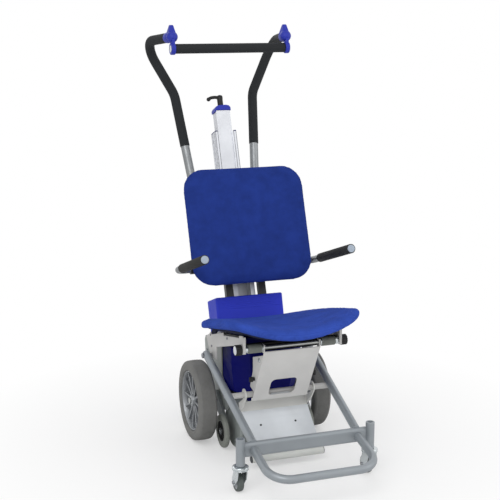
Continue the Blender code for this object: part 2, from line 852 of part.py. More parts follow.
def fork(side, name):
    x = side * CASTOR_X
    crown_top = SOCKET_LOW_Z - GAP
    crown_low = crown_top - FORK_CROWN_T
    wheel_y = CASTOR_Y + CASTOR_TRAIL
    made = turned("castor_fork_" + name,
                  [(0, 0.165), (STEM_R, 0.165), (STEM_R, crown_top), (FORK_CROWN_R - 0.004, crown_top),
                   (FORK_CROWN_R, crown_top - 0.004), (FORK_CROWN_R, crown_low), (0, crown_low)],
                  STEEL, 24, axis="Z", at=(x, CASTOR_Y, 0))
    inside = CASTOR_W / 2 + 0.0015
    leg = [(CASTOR_Y - 0.016, crown_low + 0.002), (CASTOR_Y - 0.010, 0.045),
           (wheel_y - 0.010, CASTOR_R - 0.004)]
    leg += arc((wheel_y, CASTOR_R), 0.009, 210, 330, 4)
    leg += [(wheel_y + 0.012, CASTOR_R + 0.010), (CASTOR_Y + 0.016, crown_low + 0.002)]
    for edge in (-1, 1):
        plate = outline("fork_leg", leg, FORK_LEG_T / 2)
        plate.location.x = x + edge * (inside + FORK_LEG_T / 2)
        join(made, plate)
    reach = inside + FORK_LEG_T + 0.001
    pin = rod("castor_pin", 0.004, (x - reach, wheel_y, CASTOR_R), (x + reach, wheel_y, CASTOR_R), steps=12)
    return join(made, pin)


def castor_wheel(side, name):
    half = CASTOR_W / 2
    edge = 0.005
    profile = [(0.0125, half), (CASTOR_R - edge, half), (CASTOR_R, half - edge), (CASTOR_R, edge - half),
               (CASTOR_R - edge, -half), (0.0125, -half), (0.004 + GAP, -half), (0.004 + GAP, half)]
    return turned("castor_wheel_" + name, profile, RUBBER, 28, True,
                  at=(side * CASTOR_X, CASTOR_Y + CASTOR_TRAIL, CASTOR_R))


def castors():
    for side, name in SIDES:
        swivel = pivot("castor_" + name, (side * CASTOR_X, CASTOR_Y, SOCKET_LOW_Z), BASE)
        hang(swivel, fork(side, name))
        roll = pivot("castor_roll_" + name, (side * CASTOR_X, CASTOR_Y + CASTOR_TRAIL, CASTOR_R), swivel)
        hang(roll, castor_wheel(side, name))


# Seat carrier

def under_seat(y):
    """The height just below the seat board, over a bracket."""
    return seat_height(BRACKET_IN, y) - SEAT_PAD_T - SEAT_BOARD_T - 3 * GAP


def bracket_outline():
    """A long arm that rises to the front, with a leg for the rail's pin and a deeper nose for the shaft."""
    front_y = SHAFT_Y - 0.014
    nose = arc((SHAFT_Y, SHAFT_Z), 0.014, 180, 330, 6)
    leg = arc((RAIL_PIN_Y, RAIL_PIN_Z), 0.012, 200, 330, 6)
    hinge = arc((SEAT_PIVOT_Y, SEAT_PIVOT_Z), 0.009, 20, 160, 6)
    top = [(-0.112, under_seat(-0.112) - GAP), (front_y, under_seat(front_y))]
    return [(0.0665, 0.341), *hinge, *top, *nose, (-0.262, 0.403), (-0.042, 0.334), (-0.037, 0.289), *leg,
            (0.040, 0.309)]


def bracket(side, name):
    """The arm with a foot on the side plate and a pin outwards through the rail's eye."""
    made = outline("seat_bracket_" + name, bracket_outline(), BRACKET_T / 2, SHEET)
    made.location.x = side * BRACKET_X
    foot = box("bracket_foot", *across(side, PLATE_OUT + GAP, BRACKET_X, (0.020, 0.3265), (0.054, 0.3305)))
    pin = rod("rail_pin", RAIL_PIN_R, (side * BRACKET_X, RAIL_PIN_Y, RAIL_PIN_Z),
              (side * (RAIL_X + RAIL_R + 0.0015), RAIL_PIN_Y, RAIL_PIN_Z))
    holes = []
    for place, radius in (((SHAFT_Y, SHAFT_Z), SHAFT_R + GAP), ((SEAT_PIVOT_Y, SEAT_PIVOT_Z), 0.004 + GAP)):
        holes.append(rod("bracket_hole", radius, (side * (BRACKET_IN - 0.01), *place),
                         (side * (BRACKET_OUT + 0.01), *place), steps=12))
    return cut(join(made, foot, pin), *holes)


def front_shaft():
    """A cross shaft with a ribbed sleeve and collars at each side."""
    end = BRACKET_OUT
    shoulder = BRACKET_IN - 0.0005
    inner = CALF_HALF_X + 0.0015
    collar = SLEEVE_R - 0.002
    steps = ((end, SHAFT_R), (shoulder, SHAFT_R), (shoulder, collar), (shoulder - 0.0145, collar),
             (shoulder - 0.0145, SLEEVE_R), (inner + 0.0045, SLEEVE_R), (inner + 0.0045, collar),
             (inner, collar), (inner, SHAFT_R))
    outer = [(radius, height) for height, radius in steps]
    lower = [(radius, -height) for radius, height in reversed(outer)]
    return turned("front_shaft", [(0, end), *outer, *lower, (0, -end)], ALUMINIUM, 20,
                  at=(0, SHAFT_Y, SHAFT_Z))


def stay_beam():
    half = BRACKET_IN - GAP
    front = SHAFT_Y + SLEEVE_R + GAP
    made = box("stay_beam", (-half, front, BEAM_LOW_Z), (half, front + 0.016, BEAM_TOP_Z), BLACK_PLASTIC)
    return round_edges(made, 0.002, 1)


def calf_plate():
    """A leaning plate with deep cheeks behind it, a hand slot and two ears round the shaft."""
    top = Vector((SHAFT_Y - 0.010, SHAFT_Z - 0.011))
    low = Vector((CALF_LOW_Y, CALF_LOW_Z))
    run = low - top
    length = run.length
    tilt = atan2(run.x, -run.y)
    half = SHEET_T / 2
    turn = Matrix.Translation((0, top.x, top.y)) @ Matrix.Rotation(tilt, 4, "X")

    def placed(obj):
        obj.matrix_world = turn @ obj.matrix_basis
        return obj

    made = placed(box("calf_plate", (-CALF_HALF_X, -half, -length), (CALF_HALF_X, half, 0), SHEET))
    front_high = top.lerp(low, (top.y - 0.372) / -run.y)
    front_low = top.lerp(low, (top.y - 0.229) / -run.y)
    cheek = [tuple(front_high), (-0.196, 0.340), (-0.196, 0.295), (-0.171, 0.241), (-0.171, 0.237),
             tuple(front_low)]
    for side in (-1, 1):
        wall = outline("calf_cheek", cheek, half)
        wall.location.x = side * (CALF_HALF_X - half)
        join(made, wall)
        corners = (SHAFT_Y - 0.010, SHAFT_Z - 0.016), (SHAFT_Y + 0.009, SHAFT_Z + 0.010)
        join(made, box("calf_ear", *across(side, CALF_HALF_X - SHEET_T, CALF_HALF_X, *corners)))
    slot = box("hand_slot", (-SLOT_HALF_X, -0.02, SLOT_LOW - length),
               (SLOT_HALF_X, 0.02, SLOT_LOW + SLOT_TALL - length))
    round_edges(slot, 0.015, 3)
    ream = rod("calf_ream", SHAFT_R + GAP, (-0.1, SHAFT_Y, SHAFT_Z), (0.1, SHAFT_Y, SHAFT_Z), steps=16)
    return cut(made, placed(slot), ream)


def knob(side, name):
    start = BRACKET_OUT + GAP
    lobes = 12
    points = []
    for i in range(4 * lobes):
        angle = 2 * pi * i / (4 * lobes)
        size = KNOB_R - 0.0009 + 0.0009 * cos(lobes * angle)
        points.append((SHAFT_Y + size * cos(angle), SHAFT_Z + size * sin(angle)))
    made = outline("clamp_knob_" + name, points, KNOB_W / 2, BLACK_PLASTIC)
    made.location.x = side * (start + KNOB_W / 2)
    return made


def seat_carrier():
    hang(BASE, front_shaft(), stay_beam())
    for side, name in SIDES:
        hang(BASE, bracket(side, name))
        turn = pivot("clamp_" + name, (side * BRACKET_X, SHAFT_Y, SHAFT_Z), BASE)
        hang(turn, knob(side, name))
    swing = pivot("calf_swing", (0, SHAFT_Y, SHAFT_Z), BASE)
    hang(swing, calf_plate())


# Foot plate

def foot_plate():
    """A folded sloping sheet with a round lip and two ears that hook round the cross tube."""
    high = Vector((FOOT_TOP_Y, FOOT_TOP_Z))
    fold = Vector((FOOT_FOLD_Y, FOOT_FOLD_Z))
    low = Vector((FOOT_LOW_Y, FOOT_LOW_Z))
    upper = (fold - high).normalized()
    lower = (low - fold).normalized()
    upper_side = Vector((upper.y, -upper.x))
    lower_side = Vector((lower.y, -lower.x))
    corner_side = (upper_side + lower_side) / (1 + upper_side.dot(lower_side))
    half = SHEET_T / 2
    front = [high + upper_side * half, fold + corner_side * half, low + lower_side * half]
    behind = [low - lower_side * half, fold - corner_side * half, high - upper_side * half]
    made = outline("foot_plate", [tuple(point) for point in front + behind], FOOT_HALF_X, ALUMINIUM)
    lip_x = FOOT_HALF_X + 0.003
    lip = rod("lip", LIP_R, (-lip_x, *low), (lip_x, *low), steps=20)
    join(made, lip)
    hook = arc((CROSS_Y, CROSS_Z), HOOK_R, -60, 200, 16)
    root = fold - lower * GAP * 3
    hook += [(FOOT_FOLD_Y - 0.029, FOOT_FOLD_Z + 0.0235), tuple(root + lower_side * EAR_UPRIGHT)]
    hook += [tuple(root), (FOOT_TOP_Y, FOOT_TOP_Z - 0.001)]
    for side in (-1, 1):
        ear = outline("foot_ear", hook, half)
        ear.location.x = side * (FOOT_HALF_X - half)
        join(made, ear)
    ream = rod("foot_ream", CROSS_R + GAP, (-0.15, CROSS_Y, CROSS_Z), (0.15, CROSS_Y, CROSS_Z), steps=20)
    return cut(made, ream)


def footrest():
    swing = pivot("foot_swing", (0, CROSS_Y, CROSS_Z), BASE)
    hang(swing, foot_plate())


# Seat

def seat_height(x, y):
    """Top of the pad: it rises to the front, and its sides lift more than its middle."""
    forward = SEAT_REAR_Y - y
    lift = (x / SEAT_HALF_X) ** 2 * (SEAT_SIDE_LIFT + SEAT_SIDE_RISE * forward)
    return SEAT_REAR_TOP_Z + SEAT_RISE * forward + lift


def seat_shell(name, inset, drop, thickness, material):
    """A dished slab on a regular net, cut to a rounded plan."""
    half_x = SEAT_HALF_X - inset
    half_y = (SEAT_REAR_Y - SEAT_FRONT_Y) / 2 - inset
    middle_y = (SEAT_REAR_Y + SEAT_FRONT_Y) / 2
    work = bmesh.new()
    bmesh.ops.create_grid(work, x_segments=14, y_segments=6, size=1.0)
    for vert in work.verts:
        x = vert.co.x * (SEAT_HALF_X + 0.01)
        y = middle_y + vert.co.y * (SEAT_REAR_Y - SEAT_FRONT_Y + 0.02) / 2
        vert.co = (x, y, seat_height(x, y) - drop)
    bmesh.ops.triangulate(work, faces=work.faces, quad_method="FIXED")
    lower = bmesh.ops.extrude_face_region(work, geom=list(work.faces))["geom"]
    moved = [item for item in lower if isinstance(item, bmesh.types.BMVert)]
    bmesh.ops.translate(work, verts=moved, vec=(0, 0, -thickness))
    made = mesh_from(name, work, material)
    points = []
    for i in range(44):
        turn = 2 * pi * i / 44
        total = abs(cos(turn)) ** SEAT_SQUARENESS + abs(sin(turn)) ** SEAT_SQUARENESS
        size = total ** (-1 / SEAT_SQUARENESS)
        points.append((half_x * size * cos(turn), middle_y + half_y * size * sin(turn)))
    plan = outline("seat_plan", points, 0.2)
    plan.rotation_euler = (0, 0, 0)
    plan.location.z = SEAT_REAR_TOP_Z
    shaped = made.modifiers.new("plan", "BOOLEAN")
    shaped.operation = "INTERSECT"
    shaped.solver = "EXACT"
    shaped.object = cutter(plan)
    return made


def lug_top(x, y):
    """The middle of the board's thickness at a place."""
    return seat_height(x, y) - SEAT_PAD_T - GAP - SEAT_BOARD_T / 2


def seat_board():
    made = seat_shell("seat_board", 0.020, SEAT_PAD_T + GAP, SEAT_BOARD_T, BOARD)
    inner = BRACKET_IN - GAP
    for side in (-1, 1):
        front = SEAT_PIVOT_Y - 0.060
        rear = SEAT_PIVOT_Y - 0.012
        eye = arc((SEAT_PIVOT_Y, SEAT_PIVOT_Z), 0.008, 220, 400, 6)
        lug = [(rear, lug_top(inner, rear)), (front, lug_top(inner, front)),
               (SEAT_PIVOT_Y - 0.030, SEAT_PIVOT_Z + 0.006), *eye]
        plate = outline("seat_lug", lug, 0.0025)
        plate.location.x = side * (inner - 0.0025)
        pin = rod("seat_pin", 0.004, (side * (inner - 0.003), SEAT_PIVOT_Y, SEAT_PIVOT_Z),
                  (side * BRACKET_OUT, SEAT_PIVOT_Y, SEAT_PIVOT_Z), steps=12)
        join(made, plate, pin)
    return made


def seat():
    swing = pivot("seat_swing", (0, SEAT_PIVOT_Y, SEAT_PIVOT_Z), BASE)
    hang(swing, seat_board(), seat_shell("seat_pad", 0.0, 0.0, SEAT_PAD_T, BLUE_FABRIC))


# Backrest

def rounded_panel(name, half_x, low, high, rear, thickness, corner, material):
    """An upright rounded panel in the mast's directions; rear is its back face."""
    middle = (low + high) / 2
    reach = (high - low) / 2 - corner
    side = half_x - corner
    points = []
    for cx, cz, start in ((side, reach, 0), (-side, reach, 90), (-side, -reach, 180), (side, -reach, 270)):
        points += arc((cx, cz), corner, start, start + 90, 6)
    made = outline(name, points, thickness / 2, material)
    made.matrix_world = (Matrix.Translation((0, rear - thickness / 2, middle))
                         @ Matrix.Rotation(pi / 2, 4, "X"))
    made.rotation_euler = (pi / 2, 0, 0)
    return leaned(made)


def back_frame():
    """Two upright bars beside the mast, tied to it and to each other, which carry the board and bearing."""
    front = BACK_PAD_REAR + GAP + BACK_BOARD_T + GAP
    hinge_up = (ARM_PIVOT_Y - MAST_FOOT_Y) * sin(LEAN) + ARM_PIVOT_Z * cos(LEAN)
    made = turned("back_frame", ring_profile(ARM_TUBE_R + GAP, BEARING_R, -BEARING_HALF, BEARING_HALF),
                  BLACK_PLASTIC, 20, True, at=(0, ARM_PIVOT_Y, ARM_PIVOT_Z))
    ties = []
    for side in (-1, 1):
        near, far = sided(side, BACK_BAR_IN, BACK_BAR_OUT)
        bar_skin = BACK_BAR_NEAR + 0.004
        for low, high, low_up, high_up in ((BACK_BAR_NEAR, BACK_BAR_FAR, DECK_UP + GAP, BACK_BAR_TOP),
                                           (front, bar_skin, 0.640, 0.660),
                                           (front, bar_skin, 0.840, 0.860),
                                           (-0.040, bar_skin, hinge_up - 0.008, hinge_up + 0.008)):
            ties.append(lean_box("back_bar", (near, low, low_up), (far, high, high_up)))
        near, far = sided(side, MAST_W / 2 + GAP, BACK_BAR_IN + 0.002)
        for low_up in (0.520, 0.870):
            ties.append(lean_box("mast_tie", (near, -0.010, low_up), (far, 0.012, low_up + 0.024)))
    for low_up in (0.635, 0.835):
        ties.append(lean_box("strap", (0.002 - BACK_BAR_OUT, -0.0043, low_up),
                             (BACK_BAR_OUT - 0.002, -GAP, low_up + STRAP_TALL)))
    return join(made, *ties)


def backrest():
    pad = rounded_panel("back_pad", BACK_HALF_X, BACK_LOW, BACK_HIGH, BACK_PAD_REAR, BACK_PAD_T,
                        BACK_CORNER_R, BLUE_FABRIC)
    board = rounded_panel("back_board", BACK_HALF_X - 0.018, BACK_LOW + 0.018, BACK_HIGH - 0.018,
                          BACK_PAD_REAR + GAP + BACK_BOARD_T, BACK_BOARD_T, BACK_CORNER_R - 0.015, BOARD)
    hang(BASE, pad, board, back_frame())


# Armrests

def arm_direction():
    return Vector((0, ARM_FRONT_Y - ARM_PIVOT_Y, ARM_FRONT_Z - ARM_PIVOT_Z)).normalized()


def arm(side, name):
    start = Vector((side * (BEARING_HALF - ARM_IN_BEARING), ARM_PIVOT_Y, ARM_PIVOT_Z))
    corner = Vector((side * ARM_X, ARM_PIVOT_Y, ARM_PIVOT_Z))
    end = Vector((side * ARM_X, ARM_FRONT_Y, ARM_FRONT_Z))
    path = rounded_path((start, corner, end), (ARM_BEND_R,), 15)
    made = tube("arm_tube_" + name, path, ARM_TUBE_R, ALUMINIUM, 4)
    direction = arm_direction()
    foam_start = corner + direction * FOAM_FROM_BEND
    foam_end = end - direction * 0.003
    foam = turned("arm_foam_" + name,
                  ring_profile(ARM_TUBE_R + GAP, ARM_FOAM_R, -(foam_end - foam_start).length / 2,
                               (foam_end - foam_start).length / 2), FOAM, 20, True, axis="Z",
                  at=(foam_start + foam_end) / 2)
    foam.rotation_euler = direction.to_track_quat("Z", "Y").to_euler()
    return made, foam


def armrests():
    for side, name in SIDES:
        swing = pivot("arm_" + name, (side * ARM_X, ARM_PIVOT_Y, ARM_PIVOT_Z), BASE)
        hang(swing, *arm(side, name))


# Mast

def mast():
    """A grooved channel, open in front, with lips that hold the column and a slot in its back."""
    half = MAST_W / 2
    made = lean_box("mast", (-half, 0, MAST_LOW), (half, MAST_D, MAST_TOP), ALUMINIUM)
    room = COLUMN_W / 2 + RUN
    rear = MAST_D - MAST_REAR_WALL
    channel = lean_box("mast_room", (-room, rear - COLUMN_D - 2 * RUN, 0.30), (room, rear, 1.2))
    mouth = lean_box("mast_mouth", (MAST_LIP - room, -0.02, 0.30), (room - MAST_LIP, 0.02, 1.2))
    slot = lean_box("mast_slot", (-0.0085, rear - 0.01, 0.575), (0.0085, MAST_D + 0.01, 0.900))
    grooves = []
    for side in (-1, 1):
        for depth in (0.012, 0.030):
            near, far = sided(side, half - 0.003, half + 0.01)
            grooves.append(lean_box("groove", (near, depth, 0.30), (far, depth + 0.006, 1.2)))
    return cut(made, channel, mouth, slot, *grooves)


def column():
    half = COLUMN_W / 2
    rear = MAST_D - MAST_REAR_WALL - RUN
    front = rear - COLUMN_D
    made = lean_box("column", (-half, front, COLUMN_LOW), (half, rear, COLUMN_TOP), ALUMINIUM)
    wall = COLUMN_WALL
    hollow = lean_box("column_room", (wall - half, front + wall, COLUMN_LOW - 0.1),
                      (half - wall, rear - wall, COLUMN_TOP + 0.1))
    return cut(made, hollow)


def mast_cap():
    half = COLUMN_W / 2 + 0.002
    rear = MAST_D - MAST_REAR_WALL - RUN + 0.002
    made = lean_box("mast_cap", (-half, rear - COLUMN_D - 0.004, COLUMN_TOP + GAP),
                    (half, rear, COLUMN_TOP + GAP + CAP_H), BLUE_PLASTIC)
    return round_edges(made, 0.004, 2)


def lever():
    """A hub on the cap with a short arm and a ball end."""
    back = MAST_D - MAST_REAR_WALL - RUN - COLUMN_D / 2
    low = COLUMN_TOP + CAP_H + 2 * GAP
    made = leaned(rod("clamp_lever", LEVER_R, (0, back, low), (0, back, low + LEVER_H), BLACK_PLASTIC, 16))
    grip_up = low + LEVER_H - 0.005
    grip_end = (-LEVER_REACH, back, grip_up - 0.004)
    grip = leaned(rod("lever_arm", 0.0048, (0, back, grip_up), grip_end, steps=10))
    work = bmesh.new()
    bmesh.ops.create_uvsphere(work, u_segments=12, v_segments=8, radius=0.0066)
    ball = mesh_from("lever_ball", work)
    ball.location = (-LEVER_REACH, back, grip_up - 0.005)
    return join(made, grip, leaned(ball))


# Handles

def handle_corners(side):
    low_x = side * HANDLE_LOW_X
    bend_x = side * (HANDLE_LOW_X + HANDLE_SPLAY * (BEND_UP - HANDLE_LOW))
    low = lean_point(low_x, HANDLE_BACK, HANDLE_LOW)
    bend = lean_point(bend_x, HANDLE_BACK, BEND_UP)
    top = Vector((side * TOP_BEND[0], *TOP_BEND[1:]))
    end = Vector((side * HANDLE_END[0], *HANDLE_END[1:]))
    return low, bend, top, end


def handle_tube(side, name):
    path = rounded_path(handle_corners(side), (0.10, TOP_BEND_R), 15)
    return tube("handle_tube_" + name, path, HANDLE_R, ALUMINIUM, 4, wall=HANDLE_WALL)


def grip(side, name):
    """A thin sleeve over the tube, up to the knuckle."""
    low, bend, top, end = handle_corners(side)
    share = (GRIP_FROM - HANDLE_LOW) / (BEND_UP - HANDLE_LOW)
    stop = end + (top - end).normalized() * 0.030
    path = rounded_path((low.lerp(bend, share), bend, top, stop), (0.10, TOP_BEND_R), 15)
    return tube("grip_" + name, path, GRIP_R, FOAM, 4, wall=GRIP_R - HANDLE_R - GAP)


def knuckle_fin(place):
    """A block over the ball that narrows to its top."""
    work = bmesh.new()
    bmesh.ops.create_cube(work, size=1.0)
    for vert in work.verts:
        high = vert.co.z > 0
        half_x, half_y = (0.0065, 0.006) if high else (0.0150, 0.021)
        vert.co = (place.x + 2 * half_x * vert.co.x, place.y + 2 * half_y * vert.co.y + 0.001,
                   FIN_TOP_Z if high else place.z + 0.003)
    return mesh_from("knuckle_fin", work)


def knuckle(side, name):
    """A moulded joint: a sleeve on the handle tube, a ring round the grip bar, a ball and a fin."""
    low, bend, top, end = handle_corners(side)
    along = (end - top).normalized()
    ring_in = KNUCKLE_X - RING_IN
    ring_out = KNUCKLE_X + RING_OUT
    made = rod("knuckle_" + name, 0.0195, (side * ring_in, GRIP_BAR_Y, GRIP_BAR_Z),
               (side * ring_out, GRIP_BAR_Y, GRIP_BAR_Z), BLUE_PLASTIC, 20)
    sleeve = rod("knuckle_sleeve", 0.0180, end - along * 0.026, end + along * 0.008, steps=20)
    work = bmesh.new()
    bmesh.ops.create_uvsphere(work, u_segments=16, v_segments=10, radius=0.0190)
    ball = mesh_from("knuckle_ball", work)
    ball.location = end + along * 0.010
    web = box("knuckle_web", *across(side, ring_in + 0.002, ring_out - 0.003,
                                     (GRIP_BAR_Y - 0.0125, GRIP_BAR_Z + 0.003),
                                     (GRIP_BAR_Y + 0.0130, 1.2915)))
    fin = knuckle_fin(Vector((side * KNUCKLE_X, end.y, end.z)))
    bar_bore = rod("bar_bore", 0.0125 + GAP, (side * 0.15, GRIP_BAR_Y, GRIP_BAR_Z),
                   (side * 0.25, GRIP_BAR_Y, GRIP_BAR_Z), steps=20)
    tube_bore = rod("tube_bore", HANDLE_R + GAP, end - along * 0.050, end + along * GAP, steps=20)
    return cut(join(cut(join(made, sleeve, ball, fin), tube_bore), web), bar_bore)


def grip_bar():
    """The cross grip: a tube whose ends sit in the knuckles, thicker where the foam is."""
    end = KNUCKLE_X + RING_OUT
    shoulder = KNUCKLE_X - RING_IN - GAP
    profile = [(0, end), (0.0125, end), (0.0125, shoulder), (GRIP_BAR_R, shoulder), (GRIP_BAR_R, -shoulder),
               (0.0125, -shoulder), (0.0125, -end), (0, -end)]
    return turned("grip_bar", profile, FOAM, 20, at=(0, GRIP_BAR_Y, GRIP_BAR_Z))


def yoke():
    """The plate behind the mast that ties both handle tubes to the column through the mast's slot."""
    front = HANDLE_BACK - HANDLE_R - GAP - 0.008
    low = 0.690
    high = 0.780
    made = lean_box("yoke", (-0.112, front, low), (0.112, front + 0.008, high), ALUMINIUM)
    rear = MAST_D - MAST_REAR_WALL - RUN
    key = lean_box("yoke_key", (-0.0075, rear + GAP, low), (0.0075, front + 0.001, high))
    return join(made, key)


def upper_handle():
    slide = pivot("handle_slide", lean_point(0, 0, COLUMN_TOP), BASE)
    hang(slide, column(), mast_cap(), yoke(), grip_bar())
    for side, name in SIDES:
        hang(slide, handle_tube(side, name), grip(side, name), knuckle(side, name))
    back = MAST_D - MAST_REAR_WALL - RUN - COLUMN_D / 2
    turn = pivot("lever_turn", lean_point(0, back, COLUMN_TOP + CAP_H), slide)
    hang(turn, lever())
    hang(BASE, mast())


# Battery

def battery():
    """A pack that stands on the deck in front of the mast, notched round the mast and the back bars."""
    low = DECK_UP + GAP
    corners = ((BATTERY_FRONT + 0.008, low), (BATTERY_FRONT, BATTERY_TOP), (BATTERY_REAR, BATTERY_TOP),
               (BATTERY_REAR, low))
    sides = [lean_point(0, back, up) for back, up in corners]
    made = outline("battery", [(point.y, point.z) for point in sides], BATTERY_HALF_X, BLUE_PLASTIC)
    notch_x = BACK_BAR_OUT + 0.004
    notch = lean_box("battery_notch", (-notch_x, BACK_BAR_NEAR - 0.0015, 0.20), (notch_x, 0.30, 0.60))
    return cut(made, notch)


def battery_pack():
    slide = pivot("battery_slide", lean_point(0, 0, DECK_UP), BASE)
    hang(slide, battery())


BASE = pivot("middle_of_box", (0, 0, 0))
wheels()
climbing_crank()
drive()
chassis()
castor_frame()
castors()
seat_carrier()
footrest()
seat()
backrest()
armrests()
upper_handle()
battery_pack()
BASE.location.y = -(FRONT_Y + REAR_Y) / 2
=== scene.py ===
"""Looks of a portable stair climber: tubes, sheet metal, mouldings, tyres and two upholstered pads.

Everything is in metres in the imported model's frame. Places in the code are measured in the frame that
the solids were laid out in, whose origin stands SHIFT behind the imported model's.
"""

from math import cos, degrees, pi, radians, sin, sqrt, tan

import bmesh
import bpy
from mathutils import Matrix, Vector


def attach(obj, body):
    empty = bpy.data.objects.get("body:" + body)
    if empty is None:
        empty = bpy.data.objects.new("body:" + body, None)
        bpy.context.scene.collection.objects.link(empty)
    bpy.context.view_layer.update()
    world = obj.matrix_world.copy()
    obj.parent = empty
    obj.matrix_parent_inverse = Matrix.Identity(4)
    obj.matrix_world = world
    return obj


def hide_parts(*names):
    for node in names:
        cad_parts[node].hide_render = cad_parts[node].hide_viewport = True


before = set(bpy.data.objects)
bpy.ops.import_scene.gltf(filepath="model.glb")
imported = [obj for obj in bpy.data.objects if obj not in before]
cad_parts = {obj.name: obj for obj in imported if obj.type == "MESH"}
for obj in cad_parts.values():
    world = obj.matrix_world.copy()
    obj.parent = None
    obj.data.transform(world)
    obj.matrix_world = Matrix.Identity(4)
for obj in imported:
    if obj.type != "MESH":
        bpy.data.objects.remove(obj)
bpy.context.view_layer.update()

# Places shared with the solids; a pair is (y, z)
SHIFT = 0.03495
SIDES = ((-1, "right"), (1, "left"))
AXLE = (0.048, 0.1315)
WHEEL_X = 0.1965
TYRE_R = 0.1312
SPOKES = 12
CLIMB_X = 0.145
CLIMB_PIN = (-0.060, 0.0565)
CLIMB_WEBS = 6
PLATE_OUT = 0.123
RAIL_SLOPE = 0.356
RAIL_PIN = (0.008, 0.2942)
RAIL_X = 0.176
RAIL_LOW_X = 0.165
RAIL_END_Y = -0.403
RAIL_R = 0.0125
CROSS = (-0.181, 0.215)
CROSS_HALF = 0.1645
CROSS_R = 0.0094
FRONT_BAR = (-0.405, 0.1305)
FRONT_BAR_HALF = 0.1955
CASTOR_X = 0.207
CASTOR_Y = -0.414
CASTOR_TRAIL = 0.020
CASTOR_R = 0.0285
SHAFT = (-0.286, 0.396)
SHAFT_HALF = 0.1593
SHAFT_R = 0.0059
BRACKET_IN = 0.1556
BRACKET_OUT = 0.1594
SEAT_PIVOT = (0.020, 0.358)
SEAT_HALF_X = 0.209
SEAT_REAR_Y = 0.035
SEAT_FRONT_Y = -0.385
SEAT_REAR_TOP = 0.400
FOOT_FOLD = Vector((-0.139, 0.1435))
FOOT_LOW = Vector((-0.262, 0.034))
ARM_X = 0.239
ARM_PIVOT = (0.125, 0.553)
ARM_END = (-0.187, 0.656)
GRIP_BAR = (0.282, 1.258)
GRIP_R = 0.0159
KNUCKLE_X = 0.198

# The mast's place and slope, and heights measured up along it
MAST_FOOT_Y = -0.0285
LEAN = radians(20.5)
BACK_LOW = 0.499
BACK_TOP = 0.8945
MAST_TOP = 1.043
COLUMN_TOP = 1.118
HANDLE_LOW = 0.660
HANDLE_SLEEVE_LOW = 1.0154
HANDLE_BEND = 1.199

# Handle tubes across and behind the mast, how far they spread on each metre, and their two bends
HANDLE_LOW_X = 0.0923
HANDLE_BACK = 0.082
HANDLE_SPREAD = 0.0937
HANDLE_BENDS_R = (0.10, 0.062)


def at(x, y, z):
    """A point given in the solids' own layout."""
    return Vector((x, y + SHIFT, z))


def on_mast(x, back, up):
    """A point given across, back from the mast's front face, and up along the mast."""
    return at(x, MAST_FOOT_Y + up * sin(LEAN) + back * cos(LEAN), up * cos(LEAN) - back * sin(LEAN))


MAST_TURN = Matrix.Translation(at(0, MAST_FOOT_Y, 0)) @ Matrix.Rotation(-LEAN, 4, "X")


# Camera

def photo_camera():
    data = bpy.data.cameras.new("photo_camera")
    data.lens = 81.36
    data.sensor_width = 36
    camera = bpy.data.objects.new("photo_camera", data)
    bpy.context.scene.collection.objects.link(camera)
    camera.location = at(-1.20874, -3.32940, 1.39776)
    camera.rotation_euler = (radians(90 - 12.23), 0, radians(-19.48))
    bpy.context.scene.camera = camera


photo_camera()


# Materials

def colour(red, green, blue):
    """A colour read in 0 to 255 steps, as the shader wants it."""
    linear = []
    for value in (red, green, blue):
        share = value / 255
        linear.append(share / 12.92 if share <= 0.04045 else ((share + 0.055) / 1.055) ** 2.4)
    return (*linear, 1.0)


def new_material(name, roughness, metallic=0.0, coat=0.0, sheen=0.0, specular=0.5):
    material = bpy.data.materials.new(name)
    material.use_nodes = True
    shader = material.node_tree.nodes["Principled BSDF"]
    shader.inputs["Roughness"].default_value = roughness
    shader.inputs["Metallic"].default_value = metallic
    shader.inputs["Coat Weight"].default_value = coat
    shader.inputs["Sheen Weight"].default_value = sheen
    shader.inputs["Specular IOR Level"].default_value = specular
    return material, material.node_tree, shader


def add_node(tree, kind, **values):
    made = tree.nodes.new(kind)
    for name, value in values.items():
        if hasattr(made, name):
            setattr(made, name, value)
        else:
            made.inputs[name.replace("_", " ")].default_value = value
    return made


def object_points(tree, stretch=(1, 1, 1), turn=(0, 0, 0)):
    """Object coordinates, stretched so that a pattern can run along one direction."""
    coordinates = add_node(tree, "ShaderNodeTexCoord")
    mapping = add_node(tree, "ShaderNodeMapping", vector_type="POINT")
    mapping.inputs["Rotation"].default_value = turn
    mapping.inputs["Scale"].default_value = stretch
    tree.links.new(coordinates.outputs["Object"], mapping.inputs["Vector"])
    return mapping.outputs["Vector"]


def noise(tree, points, scale, detail=4.0, roughness=0.5):
    made = add_node(tree, "ShaderNodeTexNoise", Scale=scale, Detail=detail, Roughness=roughness)
    tree.links.new(points, made.inputs["Vector"])
    return made.outputs["Fac"]


def ramp(tree, factor, low, high, first, second):
    made = add_node(tree, "ShaderNodeValToRGB")
    made.color_ramp.elements[0].position = low
    made.color_ramp.elements[0].color = first
    made.color_ramp.elements[1].position = high
    made.color_ramp.elements[1].color = second
    tree.links.new(factor, made.inputs["Fac"])
    return made.outputs["Color"]


def worn(tree, shader, pattern, low, high):
    """Spreads the roughness over a range, by a pattern that keeps mostly between 0.3 and 0.7."""
    made = add_node(tree, "ShaderNodeMapRange")
    made.inputs["From Min"].default_value = 0.3
    made.inputs["From Max"].default_value = 0.7
    made.inputs["To Min"].default_value = low
    made.inputs["To Max"].default_value = high
    tree.links.new(pattern, made.inputs["Value"])
    tree.links.new(made.outputs["Result"], shader.inputs["Roughness"])


def bump(tree, shader, height, strength, distance):
    made = add_node(tree, "ShaderNodeBump", Strength=strength, Distance=distance)
    tree.links.new(height, made.inputs["Height"])
    tree.links.new(made.outputs["Normal"], shader.inputs["Normal"])


